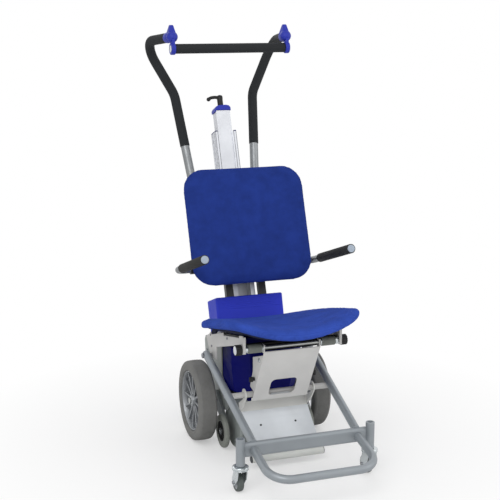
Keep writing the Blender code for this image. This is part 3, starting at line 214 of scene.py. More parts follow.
def shade(rgba, factor):
    return (*(min(1.0, value * factor) for value in rgba[:3]), 1.0)


def tinted(tree, shader, pattern, low, high, rgba, darker, lighter):
    """Varies the colour by a pattern, between a darker and a lighter share of itself."""
    tint = ramp(tree, pattern, low, high, shade(rgba, darker), shade(rgba, lighter))
    tree.links.new(tint, shader.inputs["Base Color"])


def powder_coat(name, rgba, roughness=0.42, metallic=0.0):
    """Baked paint: a faint orange peel, slight mottling and duller patches where hands and feet rub."""
    material, tree, shader = new_material(name, roughness, metallic, coat=0.08)
    points = object_points(tree)
    tinted(tree, shader, noise(tree, points, 9.0, 3.0), 0.3, 0.75, rgba, 0.93, 1.05)
    worn(tree, shader, noise(tree, points, 34.0, 6.0, 0.65), roughness - 0.06, roughness + 0.12)
    bump(tree, shader, noise(tree, points, 620.0, 2.0), 0.12, 0.0004)
    return material


def drawn_metal(name, rgba, roughness, stretch, turn=(0, 0, 0)):
    """Satin metal with fine lines along one direction, where the pattern is stretched."""
    material, tree, shader = new_material(name, roughness, 0.9)
    lines = noise(tree, object_points(tree, stretch, turn), 60.0, 5.0, 0.6)
    tinted(tree, shader, noise(tree, object_points(tree), 14.0, 3.0), 0.3, 0.7, rgba, 0.92, 1.04)
    worn(tree, shader, lines, roughness - 0.07, roughness + 0.1)
    bump(tree, shader, lines, 0.1, 0.0003)
    return material


def moulded(name, rgba, roughness, grain=900.0, depth=0.15, specular=0.3):
    """Moulded plastic: even colour, a fine spark grain and faint scuffs."""
    material, tree, shader = new_material(name, roughness, specular=specular)
    points = object_points(tree)
    tinted(tree, shader, noise(tree, points, 7.0, 2.0), 0.25, 0.8, rgba, 0.9, 1.06)
    worn(tree, shader, noise(tree, points, 48.0, 7.0, 0.7), roughness - 0.05, roughness + 0.14)
    bump(tree, shader, noise(tree, points, grain, 2.0), depth, 0.0003)
    return material


def rubber(name, rgba, roughness=0.78):
    """Dull rubber, dusty in patches, with a fine pitted skin."""
    material, tree, shader = new_material(name, roughness, specular=0.3)
    points = object_points(tree)
    dust = noise(tree, points, 26.0, 6.0, 0.7)
    tinted(tree, shader, dust, 0.3, 0.75, rgba, 0.86, 1.12)
    worn(tree, shader, dust, roughness - 0.08, roughness + 0.1)
    bump(tree, shader, noise(tree, points, 420.0, 4.0, 0.6), 0.25, 0.0005)
    return material


def cell_foam(name, rgba):
    """Black cellular foam: tiny pores and a soft, slightly worn skin."""
    material, tree, shader = new_material(name, 0.8, specular=0.2)
    points = object_points(tree)
    wear = noise(tree, points, 18.0, 5.0, 0.6)
    tinted(tree, shader, wear, 0.3, 0.75, rgba, 0.82, 1.2)
    worn(tree, shader, wear, 0.7, 0.92)
    pores = add_node(tree, "ShaderNodeTexVoronoi", Scale=620.0)
    tree.links.new(points, pores.inputs["Vector"])
    bump(tree, shader, pores.outputs["Distance"], 0.35, 0.0006)
    return material


def woven_cover(name, rgba, directions):
    """Blue upholstery cloth: crossing threads, a short nap and slow changes of tone."""
    material, tree, shader = new_material(name, 0.92, specular=0.06)
    points = object_points(tree)
    threads = []
    for direction in directions:
        wave = add_node(tree, "ShaderNodeTexWave", bands_direction=direction, Scale=175.0, Distortion=1.2,
                        Detail=1.0)
        tree.links.new(points, wave.inputs["Vector"])
        threads.append(wave.outputs["Fac"])
    weave = add_node(tree, "ShaderNodeMath", operation="MULTIPLY")
    tree.links.new(threads[0], weave.inputs[0])
    tree.links.new(threads[1], weave.inputs[1])
    nap = noise(tree, points, 900.0, 3.0)
    both = add_node(tree, "ShaderNodeMath", operation="ADD")
    tree.links.new(weave.outputs["Value"], both.inputs[0])
    tree.links.new(nap, both.inputs[1])
    clouds = noise(tree, points, 22.0, 6.0, 0.62)
    tone = ramp(tree, clouds, 0.28, 0.74, shade(rgba, 0.80), shade(rgba, 1.16))
    fleck = ramp(tree, weave.outputs["Value"], 0.0, 1.0, (0.80, 0.80, 0.84, 1), (1.10, 1.10, 1.08, 1))
    mixed = add_node(tree, "ShaderNodeMix", data_type="RGBA", blend_type="MULTIPLY")
    mixed.inputs["Factor"].default_value = 1.0
    tree.links.new(tone, mixed.inputs["A"])
    tree.links.new(fleck, mixed.inputs["B"])
    tree.links.new(mixed.outputs["Result"], shader.inputs["Base Color"])
    worn(tree, shader, clouds, 0.85, 0.98)
    bump(tree, shader, both.outputs["Value"], 0.45, 0.0007)
    return material


SEAT_CLOTH = woven_cover("seat_cloth", colour(58, 86, 182), ("X", "Y"))
BACK_CLOTH = woven_cover("back_cloth", colour(40, 62, 141), ("X", "Z"))
BLUE_PLASTIC = moulded("blue_plastic", colour(42, 54, 168), 0.42)
BATTERY_PLASTIC = moulded("battery_plastic", colour(50, 64, 200), 0.48, 700.0, 0.25, 0.2)
COVER_PLASTIC = moulded("cover_plastic", colour(8, 12, 104), 0.5, specular=0.12)
BLACK_PLASTIC = moulded("black_plastic", colour(30, 30, 31), 0.45)
GREY_PLASTIC = moulded("grey_plastic", colour(170, 173, 176), 0.4)
PALE_PLASTIC = moulded("pale_plastic", colour(214, 218, 222), 0.4)
DARK_BLUE = moulded("dark_blue_plastic", colour(44, 46, 104), 0.4)
SLEEVE_GREY = moulded("sleeve_grey", colour(128, 132, 126), 0.42)
HANDLE_FOAM = cell_foam("handle_foam", colour(42, 44, 46))
ARM_FOAM = cell_foam("arm_foam", colour(50, 50, 49))
FRAME_PAINT = powder_coat("frame_paint", colour(149, 155, 160), 0.36, 0.35)
SHEET_PAINT = powder_coat("sheet_paint", colour(194, 193, 191))
CALF_PAINT = powder_coat("calf_paint", colour(218, 217, 215))
# Side plates: a darker grey than the sheet paint, which is painted shade for their sideways faces
SHADED_PLATE_PAINT = powder_coat("shaded_plate_paint", colour(148, 154, 151))
BAND_PAINT = powder_coat("band_paint", colour(222, 222, 218))
LIP_PAINT = powder_coat("lip_paint", colour(212, 214, 210))
ARM_CASTING = powder_coat("arm_casting", colour(118, 123, 124), 0.45)
PLUG_GREY = moulded("plug_grey", colour(74, 76, 80), 0.5)
BLACK_PAINT = powder_coat("black_paint", colour(32, 32, 34), 0.4)
MAST_METAL = drawn_metal("mast_metal", colour(212, 214, 219), 0.4, (1, 1, 0.03), (LEAN, 0, 0))
TUBE_METAL = drawn_metal("tube_metal", colour(142, 145, 147), 0.42, (1, 1, 0.05))
PLATE_METAL = drawn_metal("plate_metal", colour(198, 202, 206), 0.38, (0.04, 1, 1))
SHAFT_STEEL = drawn_metal("shaft_steel", colour(176, 178, 176), 0.3, (0.05, 1, 1))
BRIGHT_STEEL = drawn_metal("bright_steel", colour(206, 212, 214), 0.2, (1, 1, 0.2))
BOLT_STEEL = drawn_metal("bolt_steel", colour(150, 152, 156), 0.3, (1, 1, 1))
RIM_METAL = drawn_metal("rim_metal", colour(158, 161, 164), 0.52, (1, 1, 1))
TYRE_RUBBER = rubber("tyre_rubber", colour(120, 120, 118))
TREAD_RUBBER = rubber("tread_rubber", colour(136, 139, 133))
CASTOR_RUBBER = rubber("castor_rubber", colour(92, 98, 96), 0.6)
DARK_CASTING = powder_coat("dark_casting", colour(138, 144, 142), 0.5)
BOARD_PAINT = moulded("board_paint", colour(34, 34, 36), 0.6, 300.0, 0.4)
# The seat's board keeps a dark tone of its own, tinted deep navy as painted shade of the blue pad's
# underside
UNDERSIDE_SHADE_PAINT = moulded("underside_shade_paint", colour(22, 28, 56), 0.7, 300.0, 0.4, 0.1)
DISC_GREY = moulded("disc_grey", colour(168, 180, 194), 0.45)
# Dark grey strips: painted shade in the mast's grooves
GROOVE_SHADE_GREY = moulded("groove_shade_grey", colour(96, 98, 106), 0.5)


# Modelling

def piece(name, work, material, body, replaces=None, smooth=40, bevel=0.0, segments=2,
          turn_out=True):
    """Turns a finished bmesh into an object that rides on its body."""
    bmesh.ops.remove_doubles(work, verts=work.verts, dist=0.000005)
    if turn_out:
        bmesh.ops.recalc_face_normals(work, faces=work.faces)
    data = bpy.data.meshes.new(name)
    work.to_mesh(data)
    work.free()
    data.shade_smooth()
    data.set_sharp_from_angle(angle=radians(smooth))
    made = bpy.data.objects.new(name, data)
    bpy.context.scene.collection.objects.link(made)
    data.materials.append(material)
    if bevel:
        edge = made.modifiers.new("rounded_edges", "BEVEL")
        edge.width = bevel
        edge.segments = segments
        edge.limit_method = "ANGLE"
        edge.angle_limit = radians(38)
        edge.harden_normals = True
    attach(made, body)
    if replaces:
        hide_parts(replaces)
    return made


def refined(node, material, body, bevel=0.0, segments=2, angle=35):
    """A flat-sided solid with its faces made whole and its edges softened."""
    work = bmesh.new()
    work.from_mesh(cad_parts[node].data)
    bmesh.ops.remove_doubles(work, verts=work.verts, dist=0.00001)
    bmesh.ops.dissolve_limit(work, angle_limit=radians(0.5), verts=work.verts, edges=work.edges)
    return piece(node + "_shape", work, material, body, node, angle, bevel, segments, turn_out=False)


def spun(work, profile, centre, axis=(1, 0, 0), steps=64):
    """Spins (radius, distance along the axis) points: a solid if they start on the axis, else a ring."""
    axis = Vector(axis).normalized()
    out = Vector((0, 0, 1)) if abs(axis.z) < 0.9 else Vector((0, -1, 0))
    out = (out - axis * out.dot(axis)).normalized()
    verts = [work.verts.new(Vector(centre) + out * radius + axis * along) for radius, along in profile]
    edges = [work.edges.new(pair) for pair in zip(verts, verts[1:])]
    if profile[0][0] > 0:
        edges.append(work.edges.new((verts[-1], verts[0])))
    bmesh.ops.spin(work, geom=verts + edges, cent=centre, axis=axis, dvec=(0, 0, 0), angle=2 * pi,
                   steps=steps, use_merge=True)
    bmesh.ops.remove_doubles(work, verts=work.verts, dist=0.000005)


def block(work, low, high, turn=None):
    """A box between two corners, turned into place if a matrix is given."""
    low = Vector(low)
    high = Vector(high)
    size = Matrix.Diagonal((*(high - low), 1))
    place = Matrix.Translation((low + high) / 2) @ size
    return bmesh.ops.create_cube(work, size=1.0, matrix=(turn @ place) if turn else place)["verts"]


def side_block(work, side, inner, outer, low, high):
    """A box on one side of the middle, between two (y, z) corners of the solids' layout."""
    near, far = sorted((side * inner, side * outer))
    block(work, at(near, *low), at(far, *high))


def thickened(work, corners, move):
    """A flat outline pushed out into a sheet."""
    face = work.faces.new([work.verts.new(corner) for corner in corners])
    grown = bmesh.ops.extrude_face_region(work, geom=[face])["geom"]
    moved = [item for item in grown if isinstance(item, bmesh.types.BMVert)]
    bmesh.ops.translate(work, verts=moved, vec=move)


def side_sheet(work, points, near, far):
    """A sheet that stands across x, from an outline of (y, z) points in the solids' layout."""
    near, far = sorted((near, far))
    thickened(work, [at(near, *point) for point in points], (far - near, 0, 0))


def arc(centre, radius, start, end, steps):
    return [(centre[0] + radius * cos(radians(start + (end - start) * i / steps)),
             centre[1] + radius * sin(radians(start + (end - start) * i / steps)))
            for i in range(steps + 1)]


def bent_path(corners, radii, step=5):
    """The middle line of a bent tube: straight runs joined by arcs."""
    corners = [Vector(corner) for corner in corners]
    path = [corners[0]]
    for before, corner, after, radius in zip(corners, corners[1:], corners[2:], radii):
        incoming = (before - corner).normalized()
        outgoing = (after - corner).normalized()
        half = incoming.angle(outgoing) / 2
        reach = radius / tan(half)
        centre = corner + (incoming + outgoing).normalized() * radius / sin(half)
        start = corner + incoming * reach - centre
        turn = pi - 2 * half
        axis = start.cross(corner + outgoing * reach - centre).normalized()
        steps = max(2, round(degrees(turn) / step))
        for i in range(steps + 1):
            path.append(centre + Matrix.Rotation(turn * i / steps, 3, axis) @ start)
    path.append(corners[-1])
    return path


def ring_along(path, i):
    """Where a tube's section stands: square to the path at one of its points."""
    before = path[max(i - 1, 0)]
    after = path[min(i + 1, len(path) - 1)]
    return (after - before).normalized()


def tube(work, path, radius, sides=28, ends="flat", wall=0.0):
    """A round bar or open tube pushed along a path: a circle, extruded from point to point."""
    heading = ring_along(path, 0)
    turn = heading.to_track_quat("Z", "Y").to_matrix().to_4x4()
    first = bmesh.ops.create_circle(work, segments=sides, radius=radius,
                                    matrix=Matrix.Translation(path[0]) @ turn)["verts"]
    edges = list({edge for vert in first for edge in vert.link_edges})
    start = list(first)
    section = list(first)
    for i in range(1, len(path)):
        grown = bmesh.ops.extrude_edge_only(work, edges=edges)["geom"]
        section = [item for item in grown if isinstance(item, bmesh.types.BMVert)]
        edges = [item for item in grown if isinstance(item, bmesh.types.BMEdge)
                 and all(vert in section for vert in item.verts)]
        following = ring_along(path, i)
        swing = heading.rotation_difference(following).to_matrix().to_4x4()
        move = Matrix.Translation(path[i]) @ swing @ Matrix.Translation(-path[i - 1])
        bmesh.ops.transform(work, matrix=move, verts=section)
        heading = following
    for loop, outward in ((start, -ring_along(path, 0)), (section, ring_along(path, len(path) - 1))):
        rim = list({edge for vert in loop for edge in vert.link_edges
                    if all(end in loop for end in edge.verts)})
        face = bmesh.ops.contextual_create(work, geom=rim)["faces"]
        if wall:
            inner = bmesh.ops.inset_region(work, faces=face, thickness=wall, depth=0)
            bmesh.ops.translate(work, verts=list(face[0].verts), vec=-outward * 4 * wall)
        elif ends == "round":
            for share in (0.35, 0.3):
                bmesh.ops.inset_region(work, faces=face, thickness=radius * share, depth=0)
                bmesh.ops.translate(work, verts=list(face[0].verts), vec=outward * radius * share * 0.35)
    return section


def bolt_head(work, place, outward, radius=0.006, height=0.003):
    """A low domed screw head with a round socket."""
    profile = [(0.0, height * 0.45), (radius * 0.45, height * 0.45), (radius * 0.5, height),
               (radius * 0.8, height), (radius, height * 0.6), (radius, 0.0), (0.0, 0.0)]
    spun(work, profile, place, outward, 24)


# Wheels

def main_tyre(side, name):
    """A solid tyre: a crowned tread with fine lines round it, soft shoulders and a stepped side wall."""
    work = bmesh.new()
    half = 0.0298
    outer = TYRE_R
    profile = [(outer - 0.0125, half), (outer - 0.0068, half - 0.0014), (outer - 0.0030, half - 0.0046),
               (outer - 0.0012, half - 0.0086)]
    for i in range(9):
        groove = 0.0172 - 0.0043 * i
        crown = outer - 0.0009 * (groove / 0.0172) ** 2
        profile += [(crown, groove + 0.0009), (crown - 0.0008, groove + 0.0003),
                    (crown - 0.0008, groove - 0.0003), (crown, groove - 0.0009)]
    profile += [(outer - 0.0012, 0.0086 - half), (outer - 0.0030, 0.0046 - half),
                (outer - 0.0068, 0.0014 - half), (outer - 0.0125, -half)]
    profile += [(0.1055, -half), (0.1040, 0.0010 - half), (0.1008, 0.0012 - half), (0.0988, 0.0040 - half),
                (0.0982, 0), (0.0988, half - 0.0040), (0.1008, half - 0.0012), (0.1040, half - 0.0010),
                (0.1055, half)]
    spun(work, profile, at(side * WHEEL_X, *AXLE), steps=96)
    piece("tyre_cover_" + name, work, TYRE_RUBBER, "wheel_" + name, "tyre_" + name, 32)


def main_rim(side, name):
    """A dished rim, slim spokes with a rib behind each, a hub and its cap."""
    centre = at(side * WHEEL_X, *AXLE)
    work = bmesh.new()
    half = 0.0247
    spun(work, [(0.0978, half - 0.0010), (0.0978, 0.0010 - half), (0.0968, -half), (0.0945, -half),
                (0.0925, 0.0050 - half), (0.0910, 0), (0.0925, half - 0.0050), (0.0945, half),
                (0.0968, half)], centre, steps=96)
    spun(work, [(0.0205, 0.014), (0.0185, 0.0218), (0.0110, 0.0218), (0.0110, -0.0218), (0.0185, -0.0218),
                (0.0205, -0.014)], centre, steps=48)
    spoke_foot = 0.0155
    spoke_end = 0.0945
    for i in range(SPOKES):
        turn = Matrix.Translation(centre) @ Matrix.Rotation(2 * pi * i / SPOKES, 4, "X")
        for back, front, half_width in ((-0.0014, 0.0014, 0.0029), (-0.0062, 0.0, 0.0010)):
            verts = block(work, (back, -half_width, spoke_foot), (front, half_width, spoke_end))
            for vert in verts:
                share = (vert.co.z - spoke_foot) / (spoke_end - spoke_foot)
                vert.co.x = side * (vert.co.x + 0.0135 + 0.0035 * share)
                vert.co.y *= 1.25 - 0.5 * share
            bmesh.ops.transform(work, matrix=turn, verts=verts)
    piece("rim_wheel_" + name, work, RIM_METAL, "wheel_" + name, "rim_" + name, 35, 0.0006)
    cap = bmesh.new()
    spun(cap, [(0.0, 0.0242), (0.0085, 0.0240), (0.0130, 0.0228), (0.0145, 0.0212), (0.0, 0.0212)],
         centre, (side, 0, 0), 40)
    piece("hub_cap_" + name, cap, GREY_PLASTIC, "wheel_" + name)


def climbing_wheel(side, name):
    """A rubber ring round a webbed hub, and the nut on the crank's pin."""
    centre = at(side * CLIMB_X, *CLIMB_PIN)
    work = bmesh.new()
    half = 0.0078
    spun(work, [(0.0334, half - 0.001), (0.0490, half), (0.0520, half - 0.0010), (0.0540, half - 0.0042),
                (0.0540, 0.0042 - half), (0.0520, 0.0010 - half), (0.0490, -half), (0.0334, 0.001 - half)],
         centre, steps=72)
    piece("climb_tread_" + name, work, TREAD_RUBBER, "climb_wheel_" + name, "climb_tyre_" + name,
          32)
    hub = bmesh.new()
    spun(hub, [(0.0065, half), (0.0125, half), (0.0140, 0.0035), (0.0270, 0.0035), (0.0290, half - 0.0005),
               (0.0330, half - 0.0005), (0.0330, 0.0005 - half), (0.0290, 0.0005 - half), (0.0270, -0.0035),
               (0.0140, -0.0035), (0.0125, -half), (0.0065, -half)], centre, steps=64)
    for i in range(CLIMB_WEBS):
        turn = Matrix.Translation(centre) @ Matrix.Rotation(2 * pi * i / CLIMB_WEBS, 4, "X")
        block(hub, (0.001 - half, -0.0016, 0.0125), (half - 0.001, 0.0016, 0.0285), turn)
    piece("climb_hub_web_" + name, hub, BLACK_PLASTIC, "climb_wheel_" + name, "climb_hub_" + name,
          35, 0.0005)
    nut = bmesh.new()
    bolt_head(nut, centre + Vector((side * half, 0, 0)), (side, 0, 0), 0.0095, 0.0016)
    piece("climb_nut_" + name, nut, BRIGHT_STEEL, "crank")


def wheels():
    for side, name in SIDES:
        main_tyre(side, name)
        main_rim(side, name)
        climbing_wheel(side, name)
        refined("crank_arm_" + name, ARM_CASTING, "crank", 0.0012)
    refined("wheel_axle", SHAFT_STEEL, "chassis", 0.001)
    refined("crank_shaft", SHAFT_STEEL, "crank")
    refined("drive_pinion", SHAFT_STEEL, "pinion")
    refined("gear_case", COVER_PLASTIC, "chassis", 0.0015)
    refined("drive_housing", DARK_CASTING, "chassis", 0.0010)
    refined("drive_motor", DARK_CASTING, "chassis", 0.0008)


# Chassis

def chassis():
    for side, name in SIDES:
        # The side plates' darker grey is painted shade
        refined("side_plate_" + name, SHADED_PLATE_PAINT, "chassis", 0.0008)
        bolts = bmesh.new()
        for y, z in ((0.110, 0.316), (0.150, 0.290), (0.170, 0.262)):
            bolt_head(bolts, at(side * PLATE_OUT, y, z), (side, 0, 0), 0.0045, 0.0026)
        piece("plate_bolts_" + name, bolts, BOLT_STEEL, "chassis")
    refined("deck", SHEET_PAINT, "chassis", 0.0008)
    refined("front_cover", COVER_PLASTIC, "chassis", 0.0013, angle=20)
    refined("rear_cover", COVER_PLASTIC, "chassis", 0.0013, angle=20)


# Castor frame

def rail_place(side, y):
    """A point on a rail's middle line; the rails come closer together to the front."""
    pin_y, pin_z = RAIL_PIN
    share = (pin_y - y) / (pin_y - RAIL_END_Y)
    return at(side * (RAIL_X + (RAIL_LOW_X - RAIL_X) * share), y, pin_z + RAIL_SLOPE * (y - pin_y))


def rails():
    """The two sloping tubes, each with the bolt on its pin and one at the cross tube."""
    for side, name in SIDES:
        work = bmesh.new()
        ends = (rail_place(side, RAIL_PIN[0] + 0.0088), rail_place(side, RAIL_END_Y))
        tube(work, ends, RAIL_R, 32, ends="round")
        piece("rail_tube_" + name, work, FRAME_PAINT, "chassis", "rail_" + name)
        bolts = bmesh.new()
        place = rail_place(side, CROSS[0])
        place.x += side * 0.0072
        place.z = CROSS[1] + 0.002
        bolt_head(bolts, place, (side, 0, 0), 0.0068, 0.0033)
        bolt_head(bolts, at(side * (RAIL_X + RAIL_R), *RAIL_PIN), (side, 0, 0), 0.0090, 0.0040)
        piece("rail_bolt_" + name, bolts, BOLT_STEEL, "chassis")


def front_tubes():
    """The cross tube, the oval bar with a castor socket at each end, and the loop before it."""
    cross = bmesh.new()
    tube(cross, (at(-CROSS_HALF, *CROSS), at(CROSS_HALF, *CROSS)), CROSS_R, 32)
    piece("cross_bar", cross, SHEET_PAINT, "chassis", "cross_tube")
    oval = bmesh.new()
    y, z = FRONT_BAR
    half_high = 0.0125
    side_sheet(oval, arc((y, z + half_high), 0.01, 0, 180, 16) + arc((y, z - half_high), 0.01, 180, 360, 16),
               -FRONT_BAR_HALF, FRONT_BAR_HALF)
    for side in (-1, 1):
        spun(oval, [(0.0086, 0.0870), (0.0125, 0.0870), (0.0135, 0.0880), (0.0135, 0.1690), (0.0125, 0.1700),
                    (0.0086, 0.1700)], at(side * CASTOR_X, CASTOR_Y, 0), (0, 0, 1), 40)
    piece("oval_bar", oval, FRAME_PAINT, "chassis", "front_bar")
    loop = bmesh.new()
    leg = ((-0.4153, 0.1285), (-0.4273, 0.1285), (-0.573, 0.095))
    corners = [at(-RAIL_LOW_X - 0.001, *point) for point in leg]
    corners += [at(RAIL_LOW_X + 0.001, *point) for point in reversed(leg)]
    tube(loop, bent_path(corners, (0.02, 0.065, 0.065, 0.02)), RAIL_R, 32)
    piece("loop_tube", loop, FRAME_PAINT, "chassis", "foot_loop")


def castors():
    """A pressed fork under a bearing ring, with a wheel that trails behind the stem."""
    for side, name in SIDES:
        x = side * CASTOR_X
        wheel_y = CASTOR_Y + CASTOR_TRAIL
        centre = at(x, wheel_y, CASTOR_R)
        work = bmesh.new()
        spun(work, [(0.0, 0.1650), (0.0068, 0.1650), (0.0078, 0.1640), (0.0078, 0.0864), (0.0205, 0.0864),
                    (0.0236, 0.0854), (0.0250, 0.0834), (0.0250, 0.0806), (0.0226, 0.0796), (0.0226, 0.0782),
                    (0.0246, 0.0772), (0.0242, 0.0752), (0.0190, 0.0742), (0.0, 0.0742)],
             at(x, CASTOR_Y, 0), (0, 0, 1), 48)
        crown = 0.0748
        leg = [(CASTOR_Y - 0.0200, crown), (CASTOR_Y - 0.0190, 0.0655), (CASTOR_Y - 0.0135, 0.0470),
               (wheel_y - 0.0115, 0.0245), *arc((wheel_y, CASTOR_R), 0.0095, 205, 335, 8),
               (wheel_y + 0.0130, 0.0385), (CASTOR_Y + 0.0215, 0.0600), (CASTOR_Y + 0.0195, crown)]
        for edge in (-1, 1):
            side_sheet(work, leg, x + edge * 0.0126, x + edge * 0.0154)
        block(work, at(x - 0.0150, CASTOR_Y - 0.0165, 0.0722), at(x + 0.0150, CASTOR_Y + 0.0165, 0.0752))
        piece("castor_fork_shape_" + name, work, BRIGHT_STEEL, "castor_" + name, "castor_fork_" + name,
              35, 0.0007)
        pins = bmesh.new()
        for edge in (-1, 1):
            bolt_head(pins, centre + Vector((edge * 0.0154, 0, 0)), (edge, 0, 0), 0.0058, 0.0032)
        piece("castor_bolt_" + name, pins, BOLT_STEEL, "castor_" + name)
        wheel = bmesh.new()
        profile = [(0.0205, 0.0098), (0.0240, 0.0104), (0.0264, 0.0088), (0.0278, 0.0056), (0.0283, 0.0020)]
        profile += [(radius, -along) for radius, along in reversed(profile)]
        spun(wheel, profile + [(0.0200, -0.0085), (0.0200, 0.0085)], centre)
        piece("castor_tread_" + name, wheel, CASTOR_RUBBER, "castor_roll_" + name, "castor_wheel_" + name)
        hub = bmesh.new()
        spun(hub, [(0.0045, 0.0106), (0.0095, 0.0106), (0.0110, 0.0070), (0.0180, 0.0070), (0.0198, 0.0086),
                   (0.0198, -0.0086), (0.0180, -0.0070), (0.0110, -0.0070), (0.0095, -0.0106),
                   (0.0045, -0.0106)], centre, steps=48)
        piece("castor_hub_" + name, hub, GREY_PLASTIC, "castor_roll_" + name)


# Seat carrier

def seat_bracket(side, name):
    """A folded sheet arm with a notch along its top, a front flange, a foot and the rail's pin."""
    hinge = arc(SEAT_PIVOT, 0.009, 20, 160, 8)
    nose = arc(SHAFT, 0.014, 180, 330, 10)
    leg = arc(RAIL_PIN, 0.012, 200, 330, 10)
    top = ((-0.112, 0.4013), (-0.115, 0.3935), (-0.262, 0.4265), (-0.266, 0.4345))
    points = [(0.0665, 0.341), *hinge, *top, (-0.2965, 0.4413), (-0.3000, 0.4380), *nose, (-0.262, 0.403),
              (-0.042, 0.334), (-0.037, 0.289), *leg, (0.040, 0.309)]
    work = bmesh.new()
    side_sheet(work, points, side * BRACKET_IN, side * BRACKET_OUT)
    side_block(work, side, 0.1512, BRACKET_OUT, (-0.3030, 0.386), (-0.2996, 0.4385))
    side_block(work, side, PLATE_OUT + 0.0003, 0.1560, (0.020, 0.3265), (0.054, 0.3305))
    piece("bracket_sheet_" + name, work, SHEET_PAINT, "chassis", "seat_bracket_" + name, 30,
          0.0009)
    pin = bmesh.new()
    spun(pin, [(0.0, 0.0), (0.006, 0.0), (0.006, 0.031), (0.0, 0.031)], at(side * 0.159, *RAIL_PIN),
         (side, 0, 0), 24)
    for y, z in ((-0.152, 0.3935), (0.0065, 0.3240)):
        bolt_head(pin, at(side * BRACKET_OUT, y, z), (side, 0, 0), 0.0042, 0.0022)
    piece("bracket_pin_" + name, pin, BOLT_STEEL, "chassis")
    pad = bmesh.new()
    side_sheet(pad, ((-0.114, 0.3850), (-0.264, 0.4180), (-0.264, 0.4318), (-0.114, 0.3998)),
               side * 0.1500, side * (BRACKET_IN - 0.0003))
    piece("bracket_buffer_" + name, pad, BLACK_PLASTIC, "chassis", bevel=0.001)


def front_shaft():
    """The rod, with a ribbed sleeve and two collars at each side."""
    rod = bmesh.new()
    spun(rod, [(0.0, -SHAFT_HALF), (SHAFT_R, -SHAFT_HALF), (SHAFT_R, SHAFT_HALF), (0.0, SHAFT_HALF)],
         at(0, *SHAFT), steps=32)
    piece("shaft_rod", rod, SHAFT_STEEL, "chassis", "front_shaft")
    for side, name in SIDES:
        sleeve = bmesh.new()
        bore = SHAFT_R + 0.0001
        outer = [(bore, 0.0970)]
        for i in range(12):
            near = 0.0975 + 0.0036 * i
            outer += [(0.0122, near), (0.0135, near + 0.0006), (0.0135, near + 0.0024),
                      (0.0122, near + 0.0030)]
        outer.append((bore, 0.1408))
        spun(sleeve, outer, at(0, *SHAFT), (side, 0, 0), 40)
        piece("shaft_sleeve_" + name, sleeve, SLEEVE_GREY, "chassis")
        collars = bmesh.new()
        for near, far in ((0.0926, 0.0968), (0.1412, 0.1550)):
            spun(collars, [(bore, near), (0.0108, near), (0.0115, near + 0.0007), (0.0115, far - 0.0007),
                           (0.0108, far), (bore, far)], at(0, *SHAFT), (side, 0, 0), 36)
        piece("shaft_collars_" + name, collars, BRIGHT_STEEL, "chassis")


def clamp_knob(side, name):
    """A knob with a scalloped rim and a pale disc in its end."""
    start = 0.1608
    end = 0.1796
    corners = 96
    scallops = 16
    points = []
    for i in range(corners):
        angle = 2 * pi * i / corners
        size = 0.0156 + 0.0008 * cos(scallops * angle)
        points.append((SHAFT[0] + size * cos(angle), SHAFT[1] + size * sin(angle)))
    work = bmesh.new()
    side_sheet(work, points, side * start, side * end)
    piece("knob_body_" + name, work, BLACK_PLASTIC, "clamp_" + name, "clamp_knob_" + name, 50,
          0.0006)
    disc = bmesh.new()
    spun(disc, [(0.0, 0.0010), (0.0128, 0.0008), (0.0136, 0.0), (0.0, 0.0)], at(side * end, *SHAFT),
         (side, 0, 0), 48)
    piece("knob_disc_" + name, disc, PALE_PLASTIC, "clamp_" + name)


def calf_details():
    """A rolled lower lip in the hand slot, a pivot bolt and a catch on each cheek."""
    refined("calf_plate", CALF_PAINT, "calf_rest", 0.0007)
    low = Vector((-0.189, 0.196))
    along = (Vector((SHAFT[0] - 0.010, SHAFT[1] - 0.011)) - low).normalized()
    outward = Vector((-along.y, along.x))
    lip = bmesh.new()
    centre = low + along * 0.0190 - outward * 0.0030
    tube(lip, (at(-0.031, *centre), at(0.031, *centre)), 0.0028, 16, ends="round")
    piece("slot_lip", lip, GREY_PLASTIC, "calf_rest")
    for side, name in SIDES:
        bolts = bmesh.new()
        bolt_head(bolts, at(side * 0.0910, -0.2560, 0.3470), (side, 0, 0), 0.0068, 0.0040)
        piece("calf_bolt_" + name, bolts, BRIGHT_STEEL, "calf_rest")
        clip = bmesh.new()
        side_block(clip, side, 0.0912, 0.1060, (-0.2170, 0.2700), (-0.2060, 0.2800))
        side_block(clip, side, 0.0980, 0.1100, (-0.2190, 0.2670), (-0.2130, 0.2830))
        piece("calf_catch_" + name, clip, BLACK_PLASTIC, "calf_rest", bevel=0.0012)


def foot_details():
    """The foot plate with its band and lip in their own paint, two rivets, and plugs in the lip's ends."""
    plate = refined("foot_plate", PLATE_METAL, "foot_rest", 0.0006)
    plate.data.materials.append(BAND_PAINT)
    plate.data.materials.append(LIP_PAINT)
    for face in plate.data.polygons:
        place = Vector((face.center.y - SHIFT, face.center.z))
        if (place - FOOT_LOW).length < 0.0128:
            face.material_index = 2
        elif place.y > FOOT_FOLD.y + 0.0005:
            face.material_index = 1
    along = (FOOT_LOW - FOOT_FOLD).normalized()
    face = Vector((along.y, -along.x))
    outward = Vector((0, face.x, face.y))
    rivets = bmesh.new()
    for x in (-0.0585, 0.0585):
        place = FOOT_FOLD + along * 0.054 + face * 0.0015
        bolt_head(rivets, at(x, *place), outward, 0.0034, 0.0012)
    piece("foot_rivets", rivets, BLACK_PLASTIC, "foot_rest")
    plugs = bmesh.new()
    for side in (-1, 1):
        spun(plugs, [(0.0, 0.0030), (0.0090, 0.0030), (0.0114, 0.0016), (0.0118, 0.0), (0.0, 0.0)],
             at(side * 0.1182, *FOOT_LOW), (side, 0, 0), 32)
    piece("lip_plugs", plugs, PLUG_GREY, "foot_rest")


def seat_carrier():
    for side, name in SIDES:
        seat_bracket(side, name)
        clamp_knob(side, name)
    front_shaft()
    refined("stay_beam", BLACK_PLASTIC, "chassis", 0.0012)
    calf_details()
    foot_details()


# Back frame and arms

